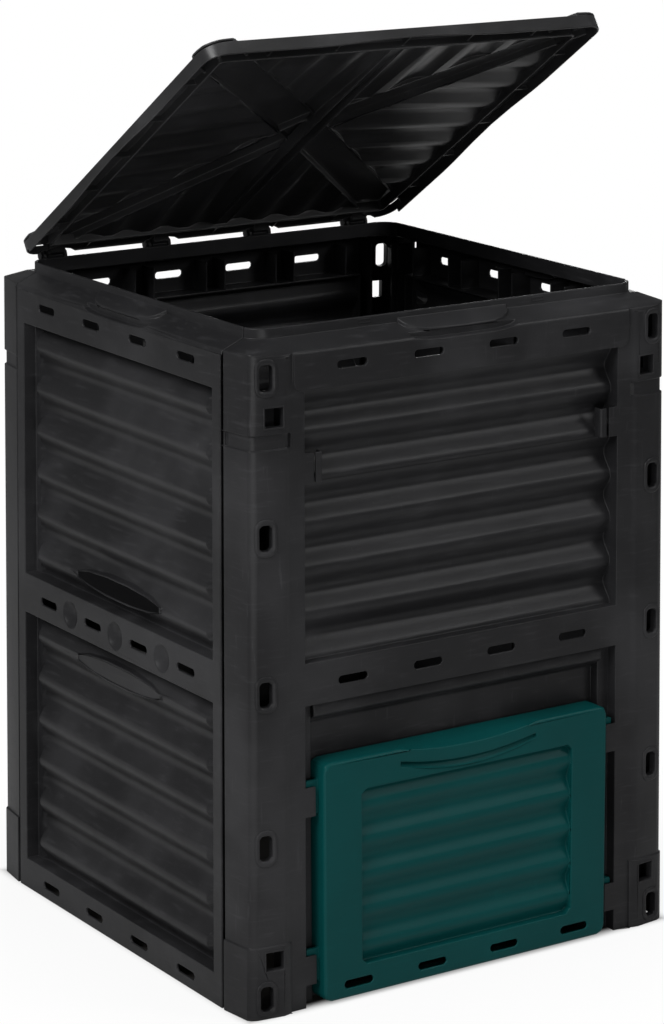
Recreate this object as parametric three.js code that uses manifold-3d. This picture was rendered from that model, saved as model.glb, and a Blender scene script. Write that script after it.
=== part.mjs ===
// Compost bin: four moulded walls that snap together, a hinged lid and a lift-off hatch.
// Millimetres, +Z up, X along the front wall, Y to the back, origin on the ground under the middle.
// Each wall is drawn flat, with u along the wall, d inwards from its face and z up, then turned
// into place, and last of all every wall and the hatch lean inwards by the same taper.
import * as THREE from 'three';
import { mergeVertices } from 'three/addons/utils/BufferGeometryUtils.js';
import Module from 'manifold-3d';

const wasm = await Module();
wasm.setup();

// Overall sizes
const HALF_WIDTH = 308.5;
const HALF_DEPTH = 301.5;
const LEDGE_Z = 783;
const WALL_DEPTH = 32;
const SKIN = 3.2;
const LEAN_SHARE = 0.0125;

// Fits and modelling allowances
const SEAT_GAP = 0.3;
const RUN_GAP = 1;
const OVERRUN = 2;
const JOIN = 0.5;
const SAME_PLACE = 0.005;
const WELD = 0.0002;

// Rails that all walls share
const MID_RAIL_Z0 = 367;
const MID_RAIL_HEIGHT = 51;
const MID_RAIL_Z1 = MID_RAIL_Z0 + MID_RAIL_HEIGHT;
const TOP_RAIL_HEIGHT = 48;
const TOP_RAIL_Z = LEDGE_Z - TOP_RAIL_HEIGHT;
const FOOT_RAIL_Z = 40;
const SLOT_LENGTH = 40;
const SLOT_HEIGHT = 9.5;
const SLOT_ROUND = 2.8;
const SLOT_Z_FOOT = 18;
const MID_SLOT_UP = 24;
const SLOT_Z_MID = MID_RAIL_Z0 + MID_SLOT_UP;
const TOP_SLOT_DOWN = 23;
const SLOT_Z_TOP = LEDGE_Z - TOP_SLOT_DOWN;
const SLOT_STEP_SHARES = [-1.5, -0.5, 0.5, 1.5];
const RIB = 2.6;
const TOP_RIB_SHARES = [-1.9, -1.13, -0.87, -0.13, 0.13, 0.87, 1.13, 1.9];
const LOW_RIB_SHARES = [-1.9, -0.87, 0.87, 1.9];

// Rim: ledge and upright lip round the top
const RIM_HEIGHT = 21;
const RIM_Z = LEDGE_Z + RIM_HEIGHT;
const RIM_ROUND = 7;
const LIP_DEPTH = 28;
const LEDGE_RISE = 9;
const LIP_FOOT_Z = LEDGE_Z + LEDGE_RISE;
const LIP_THICKNESS = 4;
const LIP_CORNER = 26;

// Front and back walls
const POST_WIDTH = 60.5;
const POST_INNER = HALF_WIDTH - POST_WIDTH;
const POST_CORNER_IN = 7;
const POST_CORNER_BACK = 7;
const POST_SIDE_IN = 1.5;
const POST_BULGE = 6;
const POST_PROUD = 3.5;
const POST_PLAN_SHARES = [[0, 0], [0.09, 0.5], [0.2, 0.82], [0.82, 0.82], [0.93, 0.5], [1, 0]];
const SEAM_BACK = 49;
const SEAM_Y = HALF_DEPTH - SEAM_BACK;
const SEAM_LINE = 1.4;
const FLANGE_REACH = 37;
const FRONT_STILE = 22.5;
const FRONT_FIELD_HALF = POST_INNER - FRONT_STILE;
const FRONT_PITCH_SHARE = 0.4656;
const FRONT_SLOT_PITCH = FRONT_FIELD_HALF * FRONT_PITCH_SHARE;
const CREST_DEPTH = 13;
const VALLEY_DEPTH = 26;
const FRONT_WAVES = 6;
const SHEET = 3;
const BAND_DOWN = 110;
const BAND_HEIGHT = 17;
const BAND_Z0 = LEDGE_Z - BAND_DOWN;
const BAND_Z1 = BAND_Z0 + BAND_HEIGHT;
const BAND_DEPTH = 2.4;
const FOOT_BLOCK_Z = 88;
const FOOT_BLOCK_PROUD = 2;
const RAIL_PAD_PROUD = 2;
const RAIL_PAD_IN = 3;
const RAIL_PAD_HALF = POST_INNER - RAIL_PAD_IN;
const RAIL_PAD_ROUND = 12;

// Windows in the posts, with the side walls' tongues behind them
const WINDOW_IN = 27;
const WINDOW_U = HALF_WIDTH - WINDOW_IN;
const WINDOW_Z0 = 25;
const WINDOW_TOP_DOWN = 28;
const WINDOW_COUNT = 5;
const WINDOW_PITCH = (LEDGE_Z - WINDOW_TOP_DOWN - WINDOW_Z0) / (WINDOW_COUNT - 1);
const WINDOW_WIDTH = 17;
const WINDOW_HEIGHT = 31;
const WINDOW_ROUND = 5;
const SQUARE_IN = 37;
const SQUARE_U = HALF_WIDTH - SQUARE_IN;
const SQUARE_SIZE = 23;
const SQUARE_Z_LOW = 70;
const SQUARE_TOP_DOWN = 73.5;
const SQUARE_Z_HIGH = LEDGE_Z - SQUARE_TOP_DOWN;
const TONGUE_THICKNESS = 4;
const TONGUE_HEIGHT = 27;
const TONGUE_IN = 29.5;
const TONGUE_REACH = 24;
const TONGUE_BARB = 3;

// Lower opening of the front wall
const STRIP_DEPTH = 15;
const STRIP_WIDTH = 20;
const HATCH_HALF = FRONT_FIELD_HALF - STRIP_WIDTH;
const HATCH_HEAD_ROOM = 70;
const HATCH_Z0 = 4;
const HATCH_Z1 = MID_RAIL_Z0 - HATCH_HEAD_ROOM;
const SILL_HEIGHT = 12;
const HEAD_CREST_DEPTH = 7;
const HEAD_CREST_DOWN = 14;
const HEAD_CREST_Z = MID_RAIL_Z0 - HEAD_CREST_DOWN;
const HEAD_BACK_DEPTH = 27.5;
const HEAD_KNEE_DOWN = 31;
const HEAD_KNEE_Z = MID_RAIL_Z0 - HEAD_KNEE_DOWN;
const HEAD_LAP = 13;
const HEAD_LOW_Z = HATCH_Z1 - HEAD_LAP;

// Pockets that hold the hatch, and its hook plates
const POCKET_Z_LOW = 45.5;
const POCKET_Z_MID = 251;
const POCKET_TOP_DOWN = 138;
const POCKET_ZS = [POCKET_Z_LOW, POCKET_Z_MID, LEDGE_Z - POCKET_TOP_DOWN];
const POCKET_HEIGHT = 36;
const POCKET_PLATE = 2.6;
const POCKET_REACH = 14.5;
const HOOK_DEPTH = 4.2;
const HOOK_THICKNESS = 5;
const HOOK_HEIGHT = 40;

// Hatch
const HATCH_PROUD = 9;
const HATCH_BACK = 23;
const HATCH_CORNER = 8;
const HATCH_EDGE = 4;
const HATCH_SKIN = 3;
const HATCH_DIP = 11;
const HATCH_DIP_SHARE = 0.516;
const HATCH_DIP_HALF = HATCH_HALF * HATCH_DIP_SHARE;
const HATCH_DIP_RISE = 1.5;
const GRIP_DROP = 16;
const GRIP_HEIGHT = 9.5;
const GRIP_END_SHARE = 0.6;
const GRIP_IN = 8;
const GRIP_HALF = HATCH_DIP_HALF - GRIP_IN;
const GRIP_DEPTH = 8;
const GRIP_SHALLOW = 1;
const HATCH_STILE = 53.5;
const HATCH_PANEL_HALF = HATCH_HALF - HATCH_STILE;
const HATCH_PANEL_FOOT = 38;
const HATCH_PANEL_HEAD = 40;
const HATCH_PANEL_Z0 = HATCH_Z0 + HATCH_PANEL_FOOT;
const HATCH_PANEL_Z1 = HATCH_Z1 - HATCH_PANEL_HEAD;
const HATCH_CREST_DEPTH = 3.5;
const HATCH_VALLEY_DEPTH = 11;
const HATCH_WAVES = 5;
const HATCH_PANEL_CORNER = 6;

// Side walls
const SIDE_STILE = 23.5;
const SIDE_FIELD_HALF = SEAM_Y - SIDE_STILE;
const SIDE_PITCH_SHARE = 0.48;
const SIDE_SLOT_PITCH = SIDE_FIELD_HALF * SIDE_PITCH_SHARE;
const SIDE_STRIP = 12;
const SIDE_HIP = 13;
const SIDE_STRIP_DEPTH = 17;
const SIDE_CREST_DEPTH = 6;
const SIDE_VALLEY_DEPTH = 20;
const SIDE_WAVES = 6;
const DIMPLE_RADIUS = 18;
const DIMPLE_DEPTH = 8;
const PLAQUE_LENGTH = 206;
const PLAQUE_HEIGHT = 27;
const PLAQUE_DEPTH = 4;
const PLAQUE_RIM = 2.5;
const PLAQUE_SINK = 1.4;

// Finger grips in the rim
const SCOOP_HALF = 76;
const SCOOP_DROP = 8.5;
const SCOOP_REACH = 8;
const SCOOP_EDGE = 2.5;
const SCOOP_EDGE_DEPTH = 5;
const SCOOP_TOP_DOWN = 7;
const SCOOP_TOP_Z = RIM_Z - SCOOP_TOP_DOWN;

// Lid
const LID_IN = 33;
const LID_HALF_X = HALF_WIDTH - LID_IN;
const LID_IN_Y = 29.5;
const LID_HALF_Y = HALF_DEPTH - LID_IN_Y;
const LID_CENTRE_Y = -2;
const LID_CORNER = 24;
const LID_LIFT = 9;
const LID_EDGE_Z = RIM_Z + LID_LIFT;
const LID_RISE = 14;
const LID_SKIN = 2.6;
const LID_SKIRT_UP = 5;
const LID_SKIRT_Z = LIP_FOOT_Z + LID_SKIRT_UP;
const LID_BACK_UP = 5;
const LID_SKIRT_BACK_Z = LID_SKIRT_Z + LID_BACK_UP;
const LID_ARCH = 5;
const LID_ARCH_SHARE = 0.54;
const LID_ARCH_HALF = LID_HALF_Y * LID_ARCH_SHARE;
const LID_BAND = 54;
const LID_BAND_RISE = 3;
const LID_WEB_DEPTH = 9;
const LID_WAVE_PITCH = 56;
const LID_WAVE_HEIGHT = 5;
const LID_WAVE_SHARES = [[0.12, 0], [0.38, 1], [0.62, 1], [0.88, 0]];
const LID_RING_INSET = 27;
const LID_RING_DEPTH = 13;
const LID_RING_Z = LID_EDGE_Z - LID_RING_DEPTH;
const LID_SPINE_DEPTH = 8;
const LID_SPINE_WIDTH = 18;
const LID_OPEN_DEGREES = 33.2;
const GUSSET_PITCH_SHARE = 0.338;
const GUSSET_PITCH = LID_HALF_Y * GUSSET_PITCH_SHARE;
const GUSSET_REACH = 2;

// Hinges
const HINGE_IN = 21.5;
const HINGE_Y = HALF_DEPTH - HINGE_IN;
const HINGE_Z = RIM_Z;
const HINGE_PITCH_SHARE = 0.5445;
const HINGE_XS = SLOT_STEP_SHARES.map((share) => share * HINGE_PITCH_SHARE * LID_HALF_X);
const PIN_RADIUS = 3.5;
const PIN_HEAD_RADIUS = 5.4;
const PIN_HEAD = 2;
const PIN_PLAY = 0.5;
const BARREL_RADIUS = 7.5;
const BARREL_WIDTH = 22;
const EAR_THICKNESS = 5;
const EAR_GAP = 0.7;
const NOTCH_HALF = 26;
const NOTCH_RISE = 6;

// Numbers of facets, and the radii from which a corner gets more of them
const WAVE_STEPS = 6;
const ARC_STEPS = 5;
const SMALL_ARC_STEPS = 2;
const ROUND_STEPS = 12;
const DIMPLE_STEPS = 16;
const DIMPLE_RINGS = 10;
const SMALL_RADIUS = 6;
const LARGE_RADIUS = 20;

// Where the walls begin to lean: the fields' middles stay upright
const FRONT_UPRIGHT = 25.5;
const CLEAR_OF_FIELD = FRONT_FIELD_HALF - FRONT_UPRIGHT;
const SIDE_UPRIGHT = 54;
const CLEAR_OF_SIDE_FIELD = SIDE_FIELD_HALF - SIDE_UPRIGHT;

const BLACK = { color: 0x1b1b1c, roughness: 0.5, metalness: 0 };
const GREEN = { color: 0x0e4a44, roughness: 0.42, metalness: 0 };
const PIN_BLACK = { color: 0x151516, roughness: 0.45, metalness: 0 };

// Turns a closed geometry into a solid that can be joined and cut.
function solid(geometry) {
  const bare = geometry.index ? geometry.toNonIndexed() : geometry.clone();
  bare.deleteAttribute('normal');
  bare.deleteAttribute('uv');
  const merged = mergeVertices(bare, WELD);
  return new wasm.Manifold(new wasm.Mesh({
    numProp: 3,
    vertProperties: new Float32Array(merged.attributes.position.array),
    triVerts: new Uint32Array(merged.index.array),
  }));
}

// Turns a solid back into a geometry.
function geometryOf(body) {
  const mesh = body.getMesh();
  const geometry = new THREE.BufferGeometry();
  const places = new Float32Array(mesh.vertProperties);
  geometry.setAttribute('position', new THREE.BufferAttribute(places, 3));
  geometry.setIndex(new THREE.BufferAttribute(new Uint32Array(mesh.triVerts), 1));
  return geometry;
}

function join(bodies) {
  return bodies.reduce((whole, body) => whole.add(body));
}

function cut(body, tools) {
  return tools.reduce((whole, tool) => whole.subtract(tool), body);
}

// Moves every vertex of a geometry by a rule.
function reshape(geometry, rule) {
  const places = geometry.attributes.position;
  const point = new THREE.Vector3();
  for (let i = 0; i < places.count; i += 1) {
    point.fromBufferAttribute(places, i);
    rule(point);
    places.setXYZ(i, point.x, point.y, point.z);
  }
  return geometry;
}

function boxGeometry(x, y, z) {
  const geometry = new THREE.BoxGeometry(x[1] - x[0], y[1] - y[0], z[1] - z[0]);
  return geometry.translate((x[0] + x[1]) / 2, (y[0] + y[1]) / 2, (z[0] + z[1]) / 2);
}

function box(x, y, z) {
  return solid(boxGeometry(x, y, z));
}

function extrude(points, length) {
  const corners = points.map(([a, b]) => new THREE.Vector2(a, b));
  const apart = corners.filter((corner, i) => corner.distanceTo(corners.at(i - 1)) > SAME_PLACE);
  const shape = new THREE.Shape(apart);
  return new THREE.ExtrudeGeometry(shape, { depth: length, bevelEnabled: false });
}

// An outline in the (u, z) plane, run through the depths d0 to d1.
function slab(points, d0, d1) {
  const geometry = extrude(points, d1 - d0);
  return solid(geometry.rotateX(Math.PI / 2).translate(0, d1, 0));
}

// An outline in the (d, z) plane, run along u.
function run(points, u0, u1) {
  const geometry = extrude(points, u1 - u0);
  geometry.rotateX(Math.PI / 2).rotateZ(Math.PI / 2);
  return solid(geometry.translate(u0, 0, 0));
}

// An outline in the (x, y) plane, run upwards.
function column(points, z0, z1) {
  return solid(extrude(points, z1 - z0).translate(0, 0, z0));
}

// Points round a rectangle with round corners.
function roundedOutline(halfX, halfY, radius, centreY = 0) {
  const points = [];
  const turns = [[1, -1, -0.5], [1, 1, 0], [-1, 1, 0.5], [-1, -1, 1]];
  const fewer = radius > SMALL_RADIUS ? SMALL_ARC_STEPS : 1;
  const steps = radius > LARGE_RADIUS ? ARC_STEPS : fewer;
  for (const [sideX, sideY, start] of turns) {
    for (let i = 0; i <= steps; i += 1) {
      const angle = (start + i / steps / 2) * Math.PI;
      const x = sideX * (halfX - radius) + radius * Math.cos(angle);
      const y = centreY + sideY * (halfY - radius) + radius * Math.sin(angle);
      points.push([x, y]);
    }
  }
  return points;
}

function shifted(points, u, z) {
  return points.map(([a, b]) => [a + u, b + z]);
}

// Four long slots with round corners in a row, cut from the face inwards.
function slotRow(pitch, z, face = RAIL_PAD_PROUD) {
  const outline = roundedOutline(SLOT_LENGTH / 2, SLOT_HEIGHT / 2, SLOT_ROUND);
  return SLOT_STEP_SHARES.map((share) => (
    slab(shifted(outline, share * pitch, z), -face - OVERRUN, SKIN + OVERRUN - face)));
}

// A face that swings between two depths over its height.
function waveFace(z0, z1, waves, first, second) {
  const face = [];
  const steps = waves * WAVE_STEPS;
  for (let i = 0; i <= steps; i += 1) {
    const swing = (1 - Math.cos((i / steps) * waves * 2 * Math.PI)) / 2;
    face.push([first + (second - first) * swing, z0 + (z1 - z0) * (i / steps)]);
  }
  return face;
}

// A corrugated sheet across a window.
function waveSheet(u0, u1, z0, z1, waves, first, second, sheet) {
  const face = waveFace(z0, z1, waves, first, second);
  const back = face.map(([d, z]) => [d + sheet, z]).reverse();
  return run([...face, ...back], u0, u1);
}

// Four plates round a window, from the face to the full depth of the wall.
function windowFrame(half, z0, z1, depth) {
  const outer = box([-half - SHEET, half + SHEET], [0, depth], [z0 - SHEET, z1 + SHEET]);
  return outer.subtract(box([-half, half], [-OVERRUN, depth + OVERRUN], [z0, z1]));
}

// Upright ribs behind a rail, beside its slots.
function railRibs(shares, pitch, z0, z1) {
  const places = shares.map((share) => share * pitch);
  return places.map((u) => box([u - RIB / 2, u + RIB / 2], [SKIN - JOIN, WALL_DEPTH], [z0, z1]));
}

// The section under the rim: a rounded edge and a sloping ledge, as far in as the reach.
function ledgeOutline(inset, reach, proud = 0) {
  const round = RIM_ROUND + proud - inset;
  const points = [[reach, TOP_RAIL_Z - inset], [inset - proud, TOP_RAIL_Z - inset]];
  for (let i = 0; i <= SMALL_ARC_STEPS; i += 1) {
    const angle = (i / SMALL_ARC_STEPS) * (Math.PI / 2);
    const z = LEDGE_Z - inset - round * (1 - Math.sin(angle));
    points.push([RIM_ROUND - round * Math.cos(angle), z]);
  }
  points.push([LIP_DEPTH, LIP_FOOT_Z - inset], [reach, LIP_FOOT_Z - inset]);
  return points;
}

// The upright lip round the inside of the ledge, on the bin's own plan with round corners.
function lipRing(wall) {
  const ring = (depth) => roundedOutline(wall.halfAlong - depth, wall.halfAcross - depth,
    LIP_CORNER + LIP_DEPTH - depth, wall.halfAcross);
  const low = LIP_FOOT_Z - SKIN * 2;
  const room = column(ring(LIP_DEPTH + LIP_THICKNESS), TOP_RAIL_Z - OVERRUN * 2, RIM_Z + OVERRUN);
  return { lip: column(ring(LIP_DEPTH), low, RIM_Z), room };
}

// The finger grip in the middle of a rim: a ramp that bulges out from the lip over a cove.
function gripArc(half, reach) {
  const points = [];
  for (let i = 0; i <= ARC_STEPS * 2; i += 1) {
    const angle = (i / (ARC_STEPS * 2)) * Math.PI;
    const across = Math.sign(Math.cos(angle)) * Math.sqrt(Math.abs(Math.cos(angle)));
    points.push([-half * across, -reach * Math.sin(angle)]);
  }
  return points;
}

function rimGrip() {
  const plan = shifted(gripArc(SCOOP_HALF, LIP_DEPTH - SCOOP_EDGE_DEPTH), 0, LIP_DEPTH);
  const backed = [...plan, [SCOOP_HALF, LIP_DEPTH + JOIN], [-SCOOP_HALF, LIP_DEPTH + JOIN]];
  const section = [
    [SCOOP_EDGE_DEPTH - JOIN, LEDGE_Z + JOIN], [SCOOP_REACH, LEDGE_Z],
    [SCOOP_REACH + OVERRUN, LEDGE_Z], [LIP_DEPTH + JOIN, LIP_FOOT_Z - SKIN / 2],
    [LIP_DEPTH + JOIN, SCOOP_TOP_Z], [LIP_DEPTH, SCOOP_TOP_Z],
    [SCOOP_EDGE_DEPTH - JOIN, LEDGE_Z + SCOOP_EDGE],
  ];
  const block = column(backed, LEDGE_Z - OVERRUN, RIM_Z);
  const tool = gripCove(0, -POST_PROUD - OVERRUN, SCOOP_REACH);
  const wide = SCOOP_HALF + SKIN * 2;
  const under = run(ledgeOutline(0, LIP_DEPTH), -wide, wide);
  const back = gripCove(SKIN, SKIN / 2, SCOOP_REACH + SKIN).intersect(under);
  return { ramp: block.intersect(run(section, -SCOOP_HALF, SCOOP_HALF)), tool, back };
}

// The crescent cove in the rail's top edge, grown by an offset.
function gripCove(grow, d0, d1) {
  const half = SCOOP_HALF + grow;
  const arc = shifted(gripArc(half, SCOOP_DROP + grow), 0, LEDGE_Z);
  const high = LEDGE_Z + OVERRUN;
  return slab([...arc, [half, high], [-half, high]], d0, d1);
}

function gripped(body) {
  const grip = rimGrip();
  return body.add(grip.back).subtract(grip.tool).add(grip.ramp);
}

// The post's plan, as a line from the frame over its flat face and round the corner to the seam.
function postPlan(wall) {
  const start = new THREE.Vector2(POST_INNER, 0);
  const end = new THREE.Vector2(wall.halfAlong - POST_CORNER_IN, POST_CORNER_BACK);
  const along = end.clone().sub(start).normalize();
  const outward = new THREE.Vector2(along.y, -along.x);
  const points = POST_PLAN_SHARES.map(([share, bulge]) => (
    start.clone().lerp(end, share).addScaledVector(outward, bulge * POST_BULGE)));
  points.push(new THREE.Vector2(wall.halfAlong - POST_SIDE_IN, wall.halfAcross - SEAM_Y));
  return points;
}

// The same line moved outwards by an offset; its end stays on the seam.
function postLine(wall, offset) {
  const plan = postPlan(wall);
  const last = plan.length - 1;
  return plan.map((point, i) => {
    const heading = plan[Math.min(i + 1, last)].clone().sub(plan[Math.max(i - 1, 0)]).normalize();
    const back = i < last ? heading.x * offset : 0;
    return [point.x + heading.y * offset, point.y - back];
  });
}

function mirrored(points, side) {
  return side > 0 ? points : points.map(([u, d]) => [-u, d]).reverse();
}

function ringBetween(wall, outside, inside, side, z0, z1) {
  const outline = [...postLine(wall, outside), ...postLine(wall, inside).reverse()];
  return column(mirrored(outline, side), z0, z1);
}

function inOrder(first, second) {
  return [Math.min(first, second), Math.max(first, second)];
}

// One corner post with its foot block, band, seam flange and windows.
function post(wall, side) {
  const skin = ringBetween(wall, 0, -SKIN, side, 0, LEDGE_Z - RIM_ROUND);
  const foot = ringBetween(wall, FOOT_BLOCK_PROUD, -SKIN, side, 0, FOOT_BLOCK_Z);
  const seamD = wall.halfAcross - SEAM_Y;
  const endU = wall.halfAlong - POST_SIDE_IN;
  const flangeU = inOrder(side * (endU - FLANGE_REACH), side * (endU - JOIN));
  const flange = box(flangeU, [seamD - SKIN, seamD], [0, LEDGE_Z - RIM_ROUND]);
  const webU = inOrder(side * POST_INNER, side * (POST_INNER + SHEET));
  const web = box(webU, [SKIN - JOIN, WALL_DEPTH], [0, LEDGE_Z - RIM_ROUND]);
  const band = ringBetween(wall, OVERRUN * 2, -BAND_DEPTH, side, BAND_Z0, BAND_Z1);
  const bandBack = ringBetween(wall, -BAND_DEPTH, -BAND_DEPTH - SKIN, side,
    BAND_Z0 - SKIN, BAND_Z1 + SKIN);
  const body = cut(join([skin, foot]), [band]).add(bandBack);
  return cut(join([body, flange, web]), windowCuts(wall, side));
}

function windowZs() {
  return Array.from({ length: WINDOW_COUNT }, (unused, i) => WINDOW_Z0 + i * WINDOW_PITCH);
}

function windowCuts(wall, side) {
  const depth = POST_CORNER_BACK * 2 + SKIN;
  const oblong = roundedOutline(WINDOW_WIDTH / 2, WINDOW_HEIGHT / 2, WINDOW_ROUND);
  const square = SQUARE_SIZE / 2;
  const u = side * SQUARE_U;
  const oblongs = windowZs().map((z) => (
    slab(shifted(oblong, side * WINDOW_U, z), -depth, depth)));
  const squares = [SQUARE_Z_LOW, SQUARE_Z_HIGH].map((z) => (
    box([u - square, u + square], [-depth, depth], [z - square, z + square])));
  return [...oblongs, ...squares, ...flangeSlots(wall, side)];
}

// Slots in the post's flange that the side wall's tongues pass through.
function flangeSlots(wall, side) {
  const seamD = wall.halfAcross - SEAM_Y;
  const u = side * (wall.halfAlong - TONGUE_IN);
  const half = TONGUE_THICKNESS / 2 + RUN_GAP;
  const tall = TONGUE_HEIGHT / 2 + RUN_GAP;
  return windowZs().map((z) => (
    box([u - half, u + half], [seamD - SKIN - OVERRUN, seamD + OVERRUN],
      [Math.max(z - tall, RUN_GAP), z + tall])));
}

// The rim of a front or back wall, turned round both corners as far as the seams.
function postRim(wall) {
  const seamD = wall.halfAcross - SEAM_Y;
  const { lip, room } = lipRing(wall);
  const end = box([-wall.halfAlong, wall.halfAlong], [0, seamD], [TOP_RAIL_Z, RIM_Z]);
  const shell = rimBlock(wall, 0).subtract(rimBlock(wall, SKIN));
  return shell.add(lip.intersect(end)).subtract(room);
}

// Everything under the ledge of a front or back wall, made smaller by an inset.
function rimBlock(wall, inset) {
  const line = postLine(wall, -inset);
  const reach = wall.halfAcross - SEAM_Y + inset;
  const last = line.at(-1)[0];
  const plan = [...mirrored(line, -1), ...line, [last, reach], [-last, reach]];
  const outline = ledgeOutline(inset, reach + OVERRUN, POST_PROUD);
  const front = run(outline, -wall.halfAlong, wall.halfAlong);
  const side = ledgeOutline(inset, wall.halfAlong).map(([d, z]) => [wall.halfAlong - d, z]);
  const sides = [...side.slice(1, -1), ...side.slice(1, -1).reverse().map(([u, z]) => [-u, z])];
  const ends = slab(sides, -POST_PROUD - OVERRUN, reach + OVERRUN);
  return column(plan, TOP_RAIL_Z - inset, LIP_FOOT_Z).intersect(front).intersect(ends);
}

// The rim of a side wall, straight from seam to seam.
function sideRim(half) {
  const ledge = run(ledgeOutline(0, LIP_DEPTH + LIP_THICKNESS), -half, half);
  const deeper = ledgeOutline(SKIN, LIP_DEPTH + LIP_THICKNESS + OVERRUN);
  const under = run(deeper, -half - OVERRUN, half + OVERRUN);
  const lip = box([-half, half], [LIP_DEPTH, LIP_DEPTH + LIP_THICKNESS],
    [LIP_FOOT_Z - SKIN * 2, RIM_Z]);
  return ledge.subtract(under).add(lip);
}

// The flat frame that every wall has between its ends, up to its top rail's ledge.
function frameSkin(half) {
  return box([-half, half], [0, SKIN], [0, TOP_RAIL_Z + JOIN]);
}

// The top rail's face on the front and back, proud of the frame and round at its lower corners.
function railPad() {
  const tall = (TOP_RAIL_HEIGHT + RAIL_PAD_ROUND * 2) / 2;
  const outline = roundedOutline(RAIL_PAD_HALF, tall, RAIL_PAD_ROUND);
  const plate = slab(shifted(outline, 0, TOP_RAIL_Z + tall), -RAIL_PAD_PROUD, SKIN - RUN_GAP);
  return plate.intersect(run(ledgeOutline(0, LIP_DEPTH, POST_PROUD), -POST_INNER, POST_INNER));
}

// A pocket on the edge of the lower opening that a hook plate drops into.
function pocket(z, side) {
  const z0 = z - POCKET_HEIGHT / 2;
  const z1 = z + POCKET_HEIGHT / 2;
  const inner = FRONT_FIELD_HALF - POCKET_REACH;
  const us = inOrder(side * inner, side * (FRONT_FIELD_HALF + JOIN));
  const plate = box(us, [0, POCKET_PLATE], [z0, z1]);
  const shelf = box(us, [0, STRIP_DEPTH + JOIN], [z0, z0 + POCKET_PLATE]);
  return plate.add(shelf);
}

// The lower opening: recessed strips with jambs, the curved head panel and a low sill.
function hatchOpening() {
  const jamb = HATCH_HALF + RUN_GAP * 2;
  const strips = [-1, 1].map((side) => {
    const us = (a, b) => inOrder(side * a, side * b);
    const tall = [0, MID_RAIL_Z0 + JOIN];
    const outer = FRONT_FIELD_HALF + SHEET;
    const strip = box(us(jamb, outer), [STRIP_DEPTH, STRIP_DEPTH + SHEET], tall);
    const reveal = box(us(FRONT_FIELD_HALF, outer), [0, WALL_DEPTH], tall);
    const edge = box(us(jamb, jamb + SHEET), [STRIP_DEPTH, WALL_DEPTH], tall);
    return join([strip, reveal, edge]);
  });
  const face = headFace();
  const back = face.map(([d, z]) => [d + SHEET, z]).reverse();
  const head = run([...face, ...back], -jamb - JOIN, jamb + JOIN);
  const sill = box([-jamb - JOIN, jamb + JOIN], [WALL_DEPTH - SHEET, WALL_DEPTH], [0, SILL_HEIGHT]);
  return [...strips, head, sill];
}

// The head panel's face from the mid rail down behind the top of the hatch.
function headFace() {
  const points = [[HEAD_BACK_DEPTH, HEAD_LOW_Z], [HEAD_BACK_DEPTH, HEAD_KNEE_Z]];
  for (let i = 1; i <= ARC_STEPS; i += 1) {
    const share = i / ARC_STEPS;
    const swing = (1 - Math.cos(share * Math.PI)) / 2;
    const depth = HEAD_BACK_DEPTH + (HEAD_CREST_DEPTH - HEAD_BACK_DEPTH) * swing;
    points.push([depth, HEAD_KNEE_Z + (HEAD_CREST_Z - HEAD_KNEE_Z) * share]);
  }
  points.push([HEAD_CREST_DEPTH + SHEET / 3, (HEAD_CREST_Z + MID_RAIL_Z0) / 2]);
  points.push([HEAD_CREST_DEPTH + SHEET, MID_RAIL_Z0 + JOIN]);
  return points;
}

// Ears on the back wall's ledge that carry the hinge pins, in the bin's own x, y and z.
function hingeEars() {
  const outline = [];
  for (let i = 0; i <= ARC_STEPS; i += 1) {
    const angle = (i / ARC_STEPS) * Math.PI;
    const y = HINGE_Y + BARREL_RADIUS * Math.cos(angle);
    outline.push([y, HINGE_Z + BARREL_RADIUS * Math.sin(angle)]);
  }
  const foot = LEDGE_Z - OVERRUN;
  outline.push([HINGE_Y - BARREL_RADIUS, foot], [HINGE_Y + BARREL_RADIUS, foot]);
  const inner = BARREL_WIDTH / 2 + EAR_GAP;
  return HINGE_XS.flatMap((x) => [-1, 1].map((side) => (
    run(outline, ...inOrder(x + side * inner, x + side * (inner + EAR_THICKNESS))))));
}

function hingeBores() {
  const radius = PIN_RADIUS + PIN_PLAY;
  return HINGE_XS.map((x) => rod(radius, x - BARREL_WIDTH, x + BARREL_WIDTH, HINGE_Y, HINGE_Z));
}

// A rod along u.
function rod(radius, u0, u1, d, z) {
  const geometry = new THREE.CylinderGeometry(radius, radius, u1 - u0, ROUND_STEPS);
  geometry.rotateZ(Math.PI / 2);
  return solid(geometry.translate((u0 + u1) / 2, d, z));
}

// A corrugated field of a front or back wall with the plates round it.
function frontField(z0, z1) {
  const half = FRONT_FIELD_HALF + JOIN;
  const sheet = waveSheet(-half, half, z0 - JOIN, z1 + JOIN, FRONT_WAVES, CREST_DEPTH,
    VALLEY_DEPTH, SHEET);
  return [windowFrame(FRONT_FIELD_HALF, z0, z1, WALL_DEPTH), sheet];
}

// The rails, rim, posts and upper field that the front and back walls share.
function postWallBase(wall) {
  return [
    ...frontField(MID_RAIL_Z1, TOP_RAIL_Z), railPad(), postRim(wall), post(wall, -1), post(wall, 1),
    ...railRibs(TOP_RIB_SHARES, FRONT_SLOT_PITCH, TOP_RAIL_Z, LEDGE_Z - RIM_ROUND),
    ...railRibs(LOW_RIB_SHARES, FRONT_SLOT_PITCH, MID_RAIL_Z0 + SHEET, MID_RAIL_Z1),
  ];
}

// An opening in a wall's frame, between two heights.
function opening(half, z0, z1) {
  return box([-half, half], [-OVERRUN, WALL_DEPTH], [z0, z1]);
}

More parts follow.
